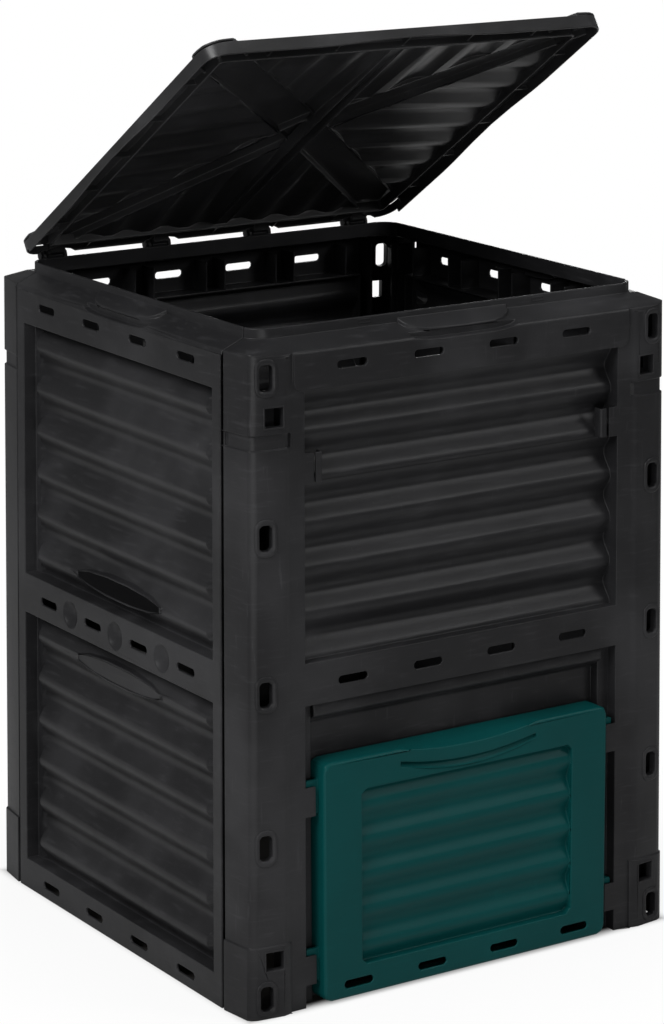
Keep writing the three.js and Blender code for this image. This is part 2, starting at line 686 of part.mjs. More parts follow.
function frontWall(wall) {
  const frame = cut(frameSkin(POST_INNER + JOIN), [
    opening(FRONT_FIELD_HALF, MID_RAIL_Z1, TOP_RAIL_Z),
    opening(FRONT_FIELD_HALF, -OVERRUN, MID_RAIL_Z0),
  ]);
  const pockets = POCKET_ZS.flatMap((z) => [pocket(z, -1), pocket(z, 1)]);
  const whole = gripped(join([frame, ...postWallBase(wall), ...hatchOpening(), ...pockets]));
  return cut(whole, [
    ...slotRow(FRONT_SLOT_PITCH, SLOT_Z_TOP),
    ...slotRow(FRONT_SLOT_PITCH, SLOT_Z_MID),
  ]);
}

function backWall(wall) {
  const frame = cut(frameSkin(POST_INNER + JOIN), [
    opening(FRONT_FIELD_HALF, MID_RAIL_Z1, TOP_RAIL_Z),
    opening(FRONT_FIELD_HALF, FOOT_RAIL_Z, MID_RAIL_Z0),
  ]);
  const field = frontField(FOOT_RAIL_Z, MID_RAIL_Z0);
  return cut(join([frame, ...postWallBase(wall), ...field]), [
    ...slotRow(FRONT_SLOT_PITCH, SLOT_Z_TOP),
    ...slotRow(FRONT_SLOT_PITCH, SLOT_Z_MID),
    ...slotRow(FRONT_SLOT_PITCH, SLOT_Z_FOOT),
  ]);
}

// One corrugated field of a side wall; its crests slope down to a flat strip at both ends.
function sideField(z0, z1) {
  const sheet = sideBlock(0, z0, z1).subtract(sideBlock(SHEET, z0, z1));
  return [sheet, windowFrame(SIDE_FIELD_HALF, z0, z1, WALL_DEPTH)];
}

// Everything behind the field's face, moved inwards by an offset.
function sideBlock(offset, z0, z1) {
  const deep = SIDE_VALLEY_DEPTH + SHEET * 2 + offset;
  const face = waveFace(z0 - JOIN, z1 + JOIN, SIDE_WAVES, SIDE_VALLEY_DEPTH, SIDE_CREST_DEPTH);
  const moved = face.map(([d, z]) => [d + offset, z]);
  const half = SIDE_FIELD_HALF + JOIN;
  const outer = SIDE_FIELD_HALF - SIDE_STRIP + offset;
  const columns = [-half, -outer, SIDE_HIP - outer, outer - SIDE_HIP, outer, half];
  const outline = [...moved, [deep, z1 + JOIN], [deep, z0 - JOIN]];
  const shape = new THREE.Shape(outline.map(([d, z]) => new THREE.Vector2(d, z)));
  const last = columns.length - 1;
  const geometry = new THREE.ExtrudeGeometry(shape, {
    depth: last, steps: last, bevelEnabled: false,
  });
  geometry.rotateX(Math.PI / 2).rotateZ(Math.PI / 2);
  return solid(reshape(geometry, (point) => {
    const column = Math.round(point.x);
    point.x = columns[column];
    if ((column < 2 || column > last - 2) && point.y < deep - JOIN) {
      point.y = SIDE_STRIP_DEPTH + offset;
    }
  }));
}

function plaqueOutline(z, inset) {
  const points = [];
  for (let i = 0; i < ROUND_STEPS; i += 1) {
    const angle = ((i + 0.5) / ROUND_STEPS) * Math.PI * 2;
    points.push([
      (PLAQUE_LENGTH / 2 - inset) * Math.cos(angle), (PLAQUE_HEIGHT / 2 - inset) * Math.sin(angle),
    ]);
  }
  return shifted(points, 0, z);
}

// A long oval plaque over the crests with a sunk middle, left bare.
function plaque(z) {
  const back = SIDE_VALLEY_DEPTH + SHEET / 2;
  return {
    plate: slab(plaqueOutline(z, 0), PLAQUE_DEPTH, back),
    tool: slab(plaqueOutline(z, PLAQUE_RIM), -OVERRUN, PLAQUE_DEPTH + PLAQUE_SINK),
  };
}

// The round dimples between the slots of the mid rail.
function dimples() {
  const radius = (DIMPLE_RADIUS ** 2 + DIMPLE_DEPTH ** 2) / (2 * DIMPLE_DEPTH);
  const places = [-1, 0, 1].map((step) => step * SIDE_SLOT_PITCH);
  const deep = DIMPLE_DEPTH + SKIN;
  const wide = DIMPLE_RADIUS + SKIN;
  return {
    bosses: places.map((u) => {
      const boss = new THREE.CylinderGeometry(wide, wide, deep - SKIN / 2, ROUND_STEPS);
      return solid(boss.translate(u, (deep + SKIN / 2) / 2, SLOT_Z_MID));
    }),
    tools: places.map((u) => {
      const ball = new THREE.SphereGeometry(radius, DIMPLE_STEPS, DIMPLE_RINGS);
      return solid(ball.translate(u, DIMPLE_DEPTH - radius, SLOT_Z_MID));
    }),
  };
}

// Snap tongues with barbs that catch behind the posts' flanges.
function tongues(wall, flangeAlong) {
  const d = wall.halfAcross - (flangeAlong - TONGUE_IN);
  const half = TONGUE_THICKNESS / 2;
  const start = SEAM_Y - SHEET * 2;
  const catchU = SEAM_Y + SKIN + RUN_GAP;
  const tip = SEAM_Y + TONGUE_REACH;
  const outline = [
    [start, d - half], [tip, d - half], [tip, d], [catchU, d + half + TONGUE_BARB],
    [catchU, d + half], [start, d + half],
  ];
  return windowZs().flatMap((z) => [-1, 1].map((side) => (
    column(mirrored(outline, side), Math.max(z - TONGUE_HEIGHT / 2, RUN_GAP * 2),
      z + TONGUE_HEIGHT / 2))));
}

function sideWall(wall, flangeAlong) {
  const half = SEAM_Y - SEAT_GAP;
  const face = SEAM_Y - SEAM_LINE;
  const frame = cut(frameSkin(face), [
    opening(SIDE_FIELD_HALF, FOOT_RAIL_Z, MID_RAIL_Z0),
    opening(SIDE_FIELD_HALF, MID_RAIL_Z1, TOP_RAIL_Z),
  ]);
  const edges = [-1, 1].map((side) => (
    box(inOrder(side * (half - SHEET), side * half), [SKIN - JOIN, WALL_DEPTH],
      [0, LEDGE_Z - RIM_ROUND])));
  const spots = dimples();
  const ribs = [
    ...railRibs(TOP_RIB_SHARES, SIDE_SLOT_PITCH, TOP_RAIL_Z, LEDGE_Z - RIM_ROUND),
    ...railRibs(LOW_RIB_SHARES, SIDE_SLOT_PITCH, MID_RAIL_Z0, MID_RAIL_Z1),
  ];
  const pitch = (MID_RAIL_Z0 - FOOT_RAIL_Z) / SIDE_WAVES;
  const plaques = [plaque(MID_RAIL_Z1 + pitch / 2), plaque(MID_RAIL_Z0 - pitch / 2)];
  const whole = gripped(join([
    frame, sideRim(face), ...edges, ...ribs, ...spots.bosses, ...plaques.map(({ plate }) => plate),
    ...sideField(FOOT_RAIL_Z, MID_RAIL_Z0), ...sideField(MID_RAIL_Z1, TOP_RAIL_Z),
    ...tongues(wall, flangeAlong),
  ]));
  return cut(whole, [
    ...spots.tools,
    ...plaques.map(({ tool }) => tool),
    ...slotRow(SIDE_SLOT_PITCH, SLOT_Z_TOP),
    ...slotRow(SIDE_SLOT_PITCH, SLOT_Z_MID),
    ...slotRow(SIDE_SLOT_PITCH, SLOT_Z_FOOT),
  ]);
}

// The scoop in the hatch's front top edge, as a solid that rises out of the top at the back.
function hatchDip(drop) {
  const points = [];
  const steps = ARC_STEPS * 2;
  const top = HATCH_Z1 - drop;
  for (let i = 0; i <= steps; i += 1) {
    const share = (2 * i) / steps - 1;
    points.push([share * HATCH_DIP_HALF, top - HATCH_DIP * (1 - share * share)]);
  }
  const high = HATCH_Z1 + OVERRUN;
  points.push([HATCH_DIP_HALF, high], [-HATCH_DIP_HALF, high]);
  const whole = HATCH_BACK + HATCH_PROUD;
  const geometry = extrude(points, whole + OVERRUN).rotateX(Math.PI / 2);
  reshape(geometry.translate(0, HATCH_BACK, 0), (point) => {
    const share = Math.min(1, (HATCH_BACK - point.y) / whole);
    if (point.z < top + JOIN) {
      point.z = (top + HATCH_DIP_RISE) * (1 - share) + point.z * share;
    }
  });
  return solid(geometry);
}

// The height of the finger groove's upper edge, and how tall it is there.
function gripPlace(share) {
  const bow = 1 - share * share;
  return {
    top: HATCH_Z1 - GRIP_DROP - HATCH_DIP * bow,
    tall: GRIP_HEIGHT * (GRIP_END_SHARE + (1 - GRIP_END_SHARE) * bow),
  };
}

// The curved finger groove below the dip; its floor slopes out to the lower edge.
function hatchGrip(grow) {
  const geometry = new THREE.BoxGeometry(2, 2, 2, ARC_STEPS * 2, 1, 1);
  return solid(reshape(geometry, (point) => {
    const { top, tall } = gripPlace(point.x);
    const above = point.z > 0;
    const deep = (above ? GRIP_DEPTH : GRIP_SHALLOW) + grow;
    point.x *= GRIP_HALF + grow;
    point.y = (point.y > 0 ? deep : -OVERRUN) - HATCH_PROUD;
    point.z = above ? top + grow : top - tall - grow;
  }));
}

function hatchShell() {
  const middle = (HATCH_Z0 + HATCH_Z1) / 2;
  const tall = (HATCH_Z1 - HATCH_Z0) / 2;
  const outline = roundedOutline(HATCH_HALF - HATCH_EDGE, tall - HATCH_EDGE, HATCH_CORNER);
  const shape = new THREE.Shape(outline.map(([u, v]) => new THREE.Vector2(u, v)));
  const deep = HATCH_BACK + HATCH_PROUD;
  const block = new THREE.ExtrudeGeometry(shape, {
    depth: deep, bevelSize: HATCH_EDGE, bevelThickness: HATCH_EDGE, bevelSegments: SMALL_ARC_STEPS,
  });
  block.rotateX(Math.PI / 2).translate(0, deep - HATCH_PROUD + HATCH_EDGE, middle);
  const keep = box([-HATCH_HALF, HATCH_HALF], [-HATCH_PROUD, HATCH_BACK], [HATCH_Z0, HATCH_Z1]);
  const inside = roundedOutline(HATCH_HALF - HATCH_SKIN, tall - HATCH_SKIN, HATCH_CORNER);
  const hollow = slab(shifted(inside, 0, middle), HATCH_SKIN - HATCH_PROUD, HATCH_BACK + OVERRUN);
  const room = hollow.subtract(hatchDip(HATCH_SKIN));
  return solid(block).intersect(keep).subtract(room).subtract(hatchDip(0));
}

// The recessed panel: the wall round it, the room in front of it and its corrugated sheet.
function hatchPanel() {
  const half = HATCH_PANEL_HALF;
  const tall = (HATCH_PANEL_Z1 - HATCH_PANEL_Z0) / 2;
  const middle = (HATCH_PANEL_Z0 + HATCH_PANEL_Z1) / 2;
  const outer = roundedOutline(half + HATCH_SKIN, tall + HATCH_SKIN, HATCH_PANEL_CORNER + HATCH_SKIN);
  const inner = roundedOutline(half, tall, HATCH_PANEL_CORNER);
  const back = HATCH_VALLEY_DEPTH - HATCH_PROUD + HATCH_SKIN;
  const wall = slab(shifted(outer, 0, middle), -HATCH_PROUD + JOIN, back);
  const hole = slab(shifted(inner, 0, middle), -HATCH_PROUD - OVERRUN, back + OVERRUN);
  const sheet = waveSheet(-half - JOIN, half + JOIN, HATCH_PANEL_Z0 - JOIN, HATCH_PANEL_Z1 + JOIN,
    HATCH_WAVES, HATCH_VALLEY_DEPTH - HATCH_PROUD, HATCH_CREST_DEPTH - HATCH_PROUD, HATCH_SKIN);
  return { wall, hole, sheet };
}

// Plates on the hatch's sides that drop into the lower four pockets.
function hookPlates() {
  const reach = FRONT_FIELD_HALF - RUN_GAP * 3;
  return POCKET_ZS.slice(0, 2).flatMap((z) => [-1, 1].map((side) => {
    const us = inOrder(side * (HATCH_HALF - HATCH_SKIN), side * reach);
    const z0 = z - POCKET_HEIGHT / 2 + POCKET_PLATE + SEAT_GAP;
    return box(us, [HOOK_DEPTH, HOOK_DEPTH + HOOK_THICKNESS], [z0, z0 + HOOK_HEIGHT]);
  }));
}

function hatch() {
  const panel = hatchPanel();
  const keep = box([-HATCH_HALF, HATCH_HALF], [-HATCH_PROUD + JOIN, HATCH_BACK],
    [HATCH_Z0, HATCH_Z1 - HATCH_SKIN]);
  const boss = hatchGrip(HATCH_SKIN).intersect(keep).subtract(hatchDip(0));
  const shell = cut(join([hatchShell(), boss, panel.wall]), [panel.hole, hatchGrip(0)]);
  const slots = slotRow(FRONT_SLOT_PITCH, SLOT_Z_FOOT + SKIN, HATCH_PROUD);
  return cut(join([shell, panel.sheet, ...hookPlates()]), slots);
}

// Lid: a flat border and four corrugated fields between two crossing bands.
function lidRoof(share) {
  return LID_EDGE_Z + LID_RISE * (1 - share);
}

// One of the four triangular fields, its folds running towards its own edge of the lid.
function lidField(alongX, side) {
  const reach = (alongX ? LID_HALF_X : LID_HALF_Y) - LID_RING_INSET - LID_SKIN + JOIN;
  const across = (alongX ? LID_HALF_Y : LID_HALF_X) - LID_RING_INSET - LID_SKIN + JOIN;
  const waves = Math.round((across * 2) / LID_WAVE_PITCH);
  const top = [[-across, 0]];
  for (let i = 0; i < waves; i += 1) {
    LID_WAVE_SHARES.forEach(([along, down]) => {
      top.push([(((i + along) / waves) * 2 - 1) * across, -LID_WAVE_HEIGHT * down]);
    });
  }
  top.push([across, 0]);
  const low = top.map(([v, z]) => [v, z - LID_SKIN]).reverse();
  const geometry = extrude([...top, ...low], reach);
  geometry.rotateX(Math.PI / 2).rotateZ(Math.PI / 2);
  reshape(geometry, (point) => {
    point.z += lidRoof(point.x / reach);
  });
  const turn = alongX ? ((1 - side) * Math.PI) / 2 : (side * Math.PI) / 2;
  geometry.rotateZ(turn).translate(0, LID_CENTRE_Y, 0);
  return solid(geometry).intersect(lidTriangle(alongX, side));
}

function lidTriangle(alongX, side) {
  const x = (LID_HALF_X - LID_RING_INSET - LID_SKIN + JOIN * 2) * side;
  const y = (LID_HALF_Y - LID_RING_INSET - LID_SKIN + JOIN * 2) * side;
  const corners = alongX ? [[0, 0], [x, -y], [x, y]] : [[0, 0], [x, y], [-x, y]];
  return column(corners.map(([a, b]) => [a, b + LID_CENTRE_Y]), LID_SKIRT_Z, LID_EDGE_Z * 2);
}

// The flat border between ring and skirt.
function lidBorder() {
  const low = LID_EDGE_Z - LID_SKIN;
  return column(lidOutline(0), low, LID_EDGE_Z).subtract(
    column(lidOutline(LID_RING_INSET + JOIN), low - OVERRUN, LID_EDGE_Z + OVERRUN),
  );
}

// One arm of the crossing bands, an upturned channel from the middle to a corner.
function lidArm(sideX, sideY) {
  const length = Math.hypot(LID_HALF_X, LID_HALF_Y);
  const half = LID_BAND / 2;
  const rise = LID_BAND_RISE;
  const section = [
    [-half, -LID_WEB_DEPTH], [-half + LID_SKIN, -LID_WEB_DEPTH],
    [-half + LID_SKIN, rise - LID_SKIN], [half - LID_SKIN, rise - LID_SKIN],
    [half - LID_SKIN, -LID_WEB_DEPTH], [half, -LID_WEB_DEPTH], [half, rise - LID_SKIN / 2],
    [half - LID_SKIN, rise], [-half + LID_SKIN, rise], [-half, rise - LID_SKIN / 2],
  ];
  const geometry = extrude(section, length);
  geometry.rotateX(Math.PI / 2).rotateZ(Math.PI / 2);
  reshape(geometry, (point) => {
    point.z += lidRoof(point.x / length);
  });
  return solid(toCorner(geometry, sideX, sideY));
}

// Turns something that lies along x towards a corner of the lid.
function toCorner(geometry, sideX, sideY) {
  geometry.rotateZ(Math.atan2(sideY * LID_HALF_Y, sideX * LID_HALF_X));
  return geometry.translate(0, LID_CENTRE_Y, 0);
}

// The room under one arm, which the fields leave free.
function lidArmRoom(sideX, sideY) {
  const length = Math.hypot(LID_HALF_X, LID_HALF_Y) + OVERRUN;
  const half = LID_BAND / 2 - LID_SKIN / 2;
  const geometry = boxGeometry([-half, length], [-half, half], [LID_SKIRT_Z, LID_EDGE_Z * 2]);
  return solid(toCorner(geometry, sideX, sideY));
}

function lidOutline(inset) {
  const round = Math.max(LID_CORNER - inset, SKIN);
  return roundedOutline(LID_HALF_X - inset, LID_HALF_Y - inset, round, LID_CENTRE_Y);
}

// The skirt, arched along its sides, cut short at the back and notched round the hinges.
function lidSkirt() {
  const ring = column(lidOutline(0), LID_SKIRT_Z, LID_EDGE_Z).subtract(
    column(lidOutline(LID_SKIN), LID_SKIRT_Z - OVERRUN, LID_EDGE_Z + OVERRUN),
  );
  const wide = LID_HALF_X + OVERRUN;
  const back = box([-wide, wide], [LID_CENTRE_Y + LID_HALF_Y - LID_CORNER, HALF_DEPTH],
    [LID_SKIRT_Z - OVERRUN, LID_SKIRT_BACK_Z]);
  const arch = skirtArch();
  const frontArch = slab(arch, LID_CENTRE_Y - LID_HALF_Y - OVERRUN, LID_CENTRE_Y);
  const sideArch = run(arch.map(([y, z]) => [y + LID_CENTRE_Y, z]).reverse(), -wide, wide);
  return cut(ring, [back, frontArch, sideArch, ...HINGE_XS.map(hingeNotch)]);
}

// The long low arch under the skirt's front and sides.
function skirtArch() {
  const arch = [[LID_ARCH_HALF, LID_SKIRT_Z - OVERRUN], [-LID_ARCH_HALF, LID_SKIRT_Z - OVERRUN]];
  const steps = ARC_STEPS + 1;
  for (let i = 0; i <= steps; i += 1) {
    const share = (i / steps) * 2 - 1;
    const rise = (LID_ARCH * (1 + Math.cos(share * Math.PI))) / 2;
    arch.push([share * LID_ARCH_HALF, LID_SKIRT_Z + rise - JOIN]);
  }
  return arch;
}

// The round-topped room in the skirt's back for one hinge.
function hingeNotch(x) {
  const outline = [[x - NOTCH_HALF, LID_SKIRT_Z], [x + NOTCH_HALF, LID_SKIRT_Z]];
  for (let i = 0; i <= ARC_STEPS; i += 1) {
    const angle = (i / ARC_STEPS) * Math.PI;
    const z = LID_SKIRT_BACK_Z + NOTCH_RISE * Math.sin(angle);
    outline.push([x + NOTCH_HALF * Math.cos(angle), z]);
  }
  return slab(outline, LID_HALF_Y + LID_CENTRE_Y - LID_SKIN * 2, HALF_DEPTH);
}

// The ring that the border and the fields end on.
function lidRing() {
  const top = LID_EDGE_Z + JOIN;
  return column(lidOutline(LID_RING_INSET), LID_RING_Z, top).subtract(
    column(lidOutline(LID_RING_INSET + LID_SKIN), LID_RING_Z - OVERRUN, top + OVERRUN),
  );
}

// Short plates between skirt and ring; they rest on the lip when the lid is shut.
function lidGussets() {
  const z = [RIM_Z + SEAT_GAP, LID_EDGE_Z - LID_SKIN];
  const plates = [];
  for (let step = -GUSSET_REACH; step <= GUSSET_REACH; step += 1) {
    const place = step * GUSSET_PITCH;
    const u = [place - RIB / 2, place + RIB / 2];
    const v = u.map((along) => along + LID_CENTRE_Y);
    for (const side of [-1, 1]) {
      plates.push(box(gussetRun(side, LID_HALF_X, 0), v, z));
      plates.push(box(u, gussetRun(side, LID_HALF_Y, LID_CENTRE_Y), z));
    }
  }
  return plates;
}

function gussetRun(side, half, middle) {
  return inOrder(middle + side * (half - LID_RING_INSET - JOIN), middle + side * (half - JOIN));
}

// Two ribs along the middle of the lid from front to back.
function lidSpine() {
  const z = [LID_EDGE_Z - LID_SPINE_DEPTH, LID_EDGE_Z + LID_RISE];
  const half = LID_SPINE_WIDTH / 2;
  const reach = LID_HALF_Y - LID_RING_INSET;
  const ys = [LID_CENTRE_Y - reach, LID_CENTRE_Y + reach];
  const under = lidUnder();
  return [-1, 1].map((side) => {
    const us = [side * half - RIB / 2, side * half + RIB / 2];
    return box(us, ys, z).intersect(under);
  });
}

// Everything below the roof's surface, to trim ribs by.
function lidUnder() {
  const corners = [[-1, -1], [1, -1], [1, 1], [-1, 1]];
  const places = [];
  const low = LID_EDGE_Z - LID_WAVE_HEIGHT - JOIN;
  for (const [sx, sy] of corners) {
    places.push(sx * LID_HALF_X, sy * LID_HALF_Y + LID_CENTRE_Y, 0);
  }
  for (const [sx, sy] of corners) {
    places.push(sx * LID_HALF_X, sy * LID_HALF_Y + LID_CENTRE_Y, low);
  }
  places.push(0, LID_CENTRE_Y, low + LID_RISE);
  const index = [0, 2, 1, 0, 3, 2];
  for (let i = 0; i < 4; i += 1) {
    const next = (i + 1) % 4;
    index.push(i, next, next + 4, i, next + 4, i + 4, i + 4, next + 4, 8);
  }
  const geometry = new THREE.BufferGeometry();
  geometry.setAttribute('position', new THREE.Float32BufferAttribute(places, 3));
  geometry.setIndex(index);
  return solid(geometry);
}

// Barrels that turn on the pins, each on an arm from the lid's back edge.
function lidBarrels() {
  const edge = LID_HALF_Y + LID_CENTRE_Y;
  return HINGE_XS.map((x) => {
    const us = [x - BARREL_WIDTH / 2, x + BARREL_WIDTH / 2];
    const barrel = rod(BARREL_RADIUS, us[0], us[1], HINGE_Y, HINGE_Z);
    const arm = run([
      [edge - LID_SKIN * 3, LID_EDGE_Z - LID_SKIN], [edge - LID_SKIN, HINGE_Z - SKIN],
      [HINGE_Y, HINGE_Z - SKIN], [HINGE_Y, HINGE_Z + BARREL_RADIUS - JOIN],
      [edge - JOIN, LID_EDGE_Z - JOIN],
    ], us[0], us[1]);
    return barrel.add(arm);
  });
}

function lid() {
  const corners = [[1, 1], [1, -1], [-1, 1], [-1, -1]];
  const fields = [true, false].flatMap((alongX) => [lidField(alongX, 1), lidField(alongX, -1)]);
  const arms = join(corners.map(([x, y]) => lidArm(x, y)));
  const channels = corners.map(([x, y]) => lidArmRoom(x, y));
  const inside = column(lidOutline(0), LID_SKIRT_Z - OVERRUN, LID_EDGE_Z * 2);
  const roof = cut(join([...fields, lidBorder()]), channels).add(arms).intersect(inside);
  const ribs = [...lidGussets(), ...lidSpine()];
  return cut(join([roof, lidSkirt(), lidRing(), ...ribs, ...lidBarrels()]), hingeBores());
}

// A pin with a head on one side of its ears.
function hingePin(x) {
  const half = BARREL_WIDTH / 2 + EAR_GAP + EAR_THICKNESS + SEAT_GAP;
  const shaft = rod(PIN_RADIUS, x - half - JOIN, x + half, HINGE_Y, HINGE_Z);
  return shaft.add(rod(PIN_HEAD_RADIUS, x - half - PIN_HEAD, x - half, HINGE_Y, HINGE_Z));
}

// How far a place leans in: nothing in the middle of a wall, all of it at the corners.
function leanShare(place, clear, full) {
  return Math.min(1, Math.max(0, (Math.abs(place) - clear) / (full - clear)));
}

function lean(geometry) {
  return reshape(geometry, (point) => {
    const inwards = LEAN_SHARE * point.z;
    const shareX = leanShare(point.x, CLEAR_OF_FIELD, POST_INNER);
    const shareY = leanShare(point.y, CLEAR_OF_SIDE_FIELD, SEAM_Y - SHEET * 3);
    point.x -= Math.sign(point.x) * inwards * shareX;
    point.y -= Math.sign(point.y) * inwards * shareY;
  });
}

// The leaned back wall with its hinge ears, which stand upright.
function eared(geometry) {
  return geometryOf(cut(join([solid(geometry), ...hingeEars()]), hingeBores()));
}

function named(name, geometry, finish) {
  geometry.computeVertexNormals();
  const mesh = new THREE.Mesh(geometry, new THREE.MeshStandardMaterial(finish));
  mesh.name = name;
  return mesh;
}

function place(body, turn, across) {
  return geometryOf(body).translate(0, -across, 0).rotateZ(turn);
}

const postWall = { halfAlong: HALF_WIDTH, halfAcross: HALF_DEPTH };
const plainWall = { halfAlong: HALF_DEPTH, halfAcross: HALF_WIDTH };

const bin = new THREE.Group();
const side = sideWall(plainWall, HALF_WIDTH);
bin.add(named('front_wall', lean(place(frontWall(postWall), 0, HALF_DEPTH)), BLACK));
bin.add(named('back_wall', eared(lean(place(backWall(postWall), Math.PI, HALF_DEPTH))), BLACK));
bin.add(named('left_wall', lean(place(side, -Math.PI / 2, HALF_WIDTH)), BLACK));
bin.add(named('right_wall', lean(place(side, Math.PI / 2, HALF_WIDTH)), BLACK));
bin.add(named('hatch', lean(place(hatch(), 0, HALF_DEPTH)), GREEN));

const lidGeometry = geometryOf(lid()).translate(0, -HINGE_Y, -HINGE_Z);
lidGeometry.rotateX(THREE.MathUtils.degToRad(-LID_OPEN_DEGREES)).translate(0, HINGE_Y, HINGE_Z);
bin.add(named('lid', lidGeometry, BLACK));

HINGE_XS.forEach((x, i) => {
  bin.add(named(`hinge_pin_${i + 1}`, geometryOf(hingePin(x)), PIN_BLACK));
});

export default bin;
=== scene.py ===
import math
from typing import NamedTuple

import bmesh
import bpy
from mathutils import Matrix, Vector
from mathutils.bvhtree import BVHTree


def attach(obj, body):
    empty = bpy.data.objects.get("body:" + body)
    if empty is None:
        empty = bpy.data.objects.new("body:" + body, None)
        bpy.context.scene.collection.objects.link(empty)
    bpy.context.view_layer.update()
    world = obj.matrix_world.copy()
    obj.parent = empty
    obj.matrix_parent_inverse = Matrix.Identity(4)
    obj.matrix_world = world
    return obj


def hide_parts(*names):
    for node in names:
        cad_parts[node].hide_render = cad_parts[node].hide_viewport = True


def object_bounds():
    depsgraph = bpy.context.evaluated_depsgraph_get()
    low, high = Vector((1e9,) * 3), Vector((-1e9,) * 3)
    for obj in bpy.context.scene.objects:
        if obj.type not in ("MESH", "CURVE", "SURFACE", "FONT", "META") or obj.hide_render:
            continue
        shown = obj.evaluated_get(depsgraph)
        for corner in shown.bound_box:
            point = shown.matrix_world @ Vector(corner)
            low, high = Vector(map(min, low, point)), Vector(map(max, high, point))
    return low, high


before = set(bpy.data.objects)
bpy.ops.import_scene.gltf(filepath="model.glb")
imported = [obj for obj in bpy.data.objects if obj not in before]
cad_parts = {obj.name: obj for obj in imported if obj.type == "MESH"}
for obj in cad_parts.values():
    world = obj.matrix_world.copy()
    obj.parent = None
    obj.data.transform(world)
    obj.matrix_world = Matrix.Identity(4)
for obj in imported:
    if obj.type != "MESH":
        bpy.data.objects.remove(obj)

bl_info = {
    "name": "Garden composter",
    "version": (1, 0, 0),
    "blender": (4, 5, 0),
    "location": "3D View > Sidebar > Composter",
    "description": "Finishes the packed composter and sets it on a plain studio floor",
    "category": "Object",
}

MM = 0.001
CAD_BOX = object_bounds()
# The walls that have the corner posts, and which way each looks along Y
POST_WALLS = {"front_wall": -1, "back_wall": 1}
SIDE_WALLS = ("left_wall", "right_wall")
PINS = ("hinge_pin_1", "hinge_pin_2", "hinge_pin_3", "hinge_pin_4")


# ---------------------------------------------------------------- settings


def length_setting(name, description, default):
    return bpy.props.FloatProperty(
        name=name, description=description, default=default, unit="LENGTH", precision=4)


def colour_setting(name, description, default):
    return bpy.props.FloatVectorProperty(
        name=name, description=description, default=default, size=3, min=0, max=1,
        subtype="COLOR")


def share_setting(name, description, default):
    return bpy.props.FloatProperty(
        name=name, description=description, default=default, min=0, max=1,
        subtype="FACTOR")


class BinSettings(bpy.types.PropertyGroup):
    """Edges and colours of the four walls, the lid and the pins."""
    edge: length_setting("Edge", "Rounding along the moulded edges", 1.1 * MM)
    black: colour_setting("Black", "Moulded black plastic", (0.0076, 0.0076, 0.0082))
    # Painted shade: the upper plaques' plate is coloured darker than the walls' black, for the
    # shade in their recess
    plaque_shade_colour: colour_setting("Plaque", "Plastic of the bare plaques", (0.0012, 0.0012, 0.0014))
    # Painted light: the lid's black is set lighter than the walls' black, so that the lid reads
    # brighter
    lid: colour_setting("Lid", "Moulded black plastic of the lid", (0.0088, 0.0088, 0.0091))
    dust: colour_setting("Dust", "Pale bloom in the plastic", (0.0235, 0.0235, 0.0250))
    gloss: share_setting("Roughness", "Roughness of the black plastic", 0.40)
    window_z: length_setting("Lowest window", "Height of the lowest window in a post", 25 * MM)
    window_pitch: length_setting("Window pitch", "From one window to the next", 182.5 * MM)
    window_x: length_setting("Window place", "From the wall's middle to the windows", 281.5 * MM)
    square_x: length_setting("Square place", "From the wall's middle to the squares", 271.5 * MM)
    latch_x: length_setting("Latch place", "From the wall's middle to the latch slots", 122 * MM)


class HatchSettings(bpy.types.PropertyGroup):
    """Edges and colours of the hatch."""
    edge: length_setting("Edge", "Rounding along the hatch's edges", 1.6 * MM)
    green: colour_setting("Green", "Moulded green plastic", (0.0008, 0.0300, 0.0298))
    pale: colour_setting("Pale green", "Pale bloom in the plastic", (0.0012, 0.0400, 0.0395))
    gloss: share_setting("Roughness", "Roughness of the green plastic", 0.38)


class StageSettings(bpy.types.PropertyGroup):
    """The floor and the camera."""
    floor: colour_setting("Floor", "Plain pale floor", (0.6, 0.6, 0.6))
    # Painted shade: a dark floor colour inside the bin's outline, for the shade inside the bin
    painted_shade: colour_setting("Ground", "The ground inside the bin", (0.03, 0.028, 0.026))
    camera_place: bpy.props.FloatVectorProperty(
        name="Camera", description="Where the camera stands", size=3, unit="LENGTH",
        default=(-2.2372, -3.4284, 1.5546))
    camera_turn: bpy.props.FloatProperty(
        name="Turn", description="How far the camera is turned to the left wall",
        default=math.radians(33.21), unit="ROTATION")
    camera_dip: bpy.props.FloatProperty(
        name="Dip", description="How far the camera looks down",
        default=math.radians(14.427), unit="ROTATION")
    camera_lens: bpy.props.FloatProperty(
        name="Lens", description="Focal length", default=120.22, unit="CAMERA")


# ---------------------------------------------------------------- materials


class Field:
    """A socket of a material's nodes, with sums written as Python sums."""

    def __init__(self, tree, socket):
        self.tree = tree
        self.socket = socket

    def _sum(self, operation, first, second):
        return node(self.tree, "ShaderNodeMath", {"operation": operation}, (first, second))

    def __add__(self, other):
        return self._sum("ADD", self, other)

    def __radd__(self, other):
        return self._sum("ADD", other, self)

    def __sub__(self, other):
        return self._sum("SUBTRACT", self, other)

    def __rsub__(self, other):
        return self._sum("SUBTRACT", other, self)

    def __mul__(self, other):
        return self._sum("MULTIPLY", self, other)

    def __rmul__(self, other):
        return self._sum("MULTIPLY", other, self)


def node(tree, kind, settings, values, output=0):
    """One node: its settings first, then the values or links of its sockets."""
    made = tree.nodes.new(kind)
    for key, value in settings.items():
        setattr(made, key, value)
    pairs = values.items() if isinstance(values, dict) else enumerate(values)
    for key, value in pairs:
        if isinstance(value, Field):
            tree.links.new(value.socket, made.inputs[key])
        else:
            made.inputs[key].default_value = value
    return Field(tree, made.outputs[output])


def stepped(tree, value, low, high):
    """0 below low, 1 above high, and a soft slope between."""
    return node(tree, "ShaderNodeMapRange", {"interpolation_type": "SMOOTHSTEP"},
                {"Value": value, "From Min": low, "From Max": high})


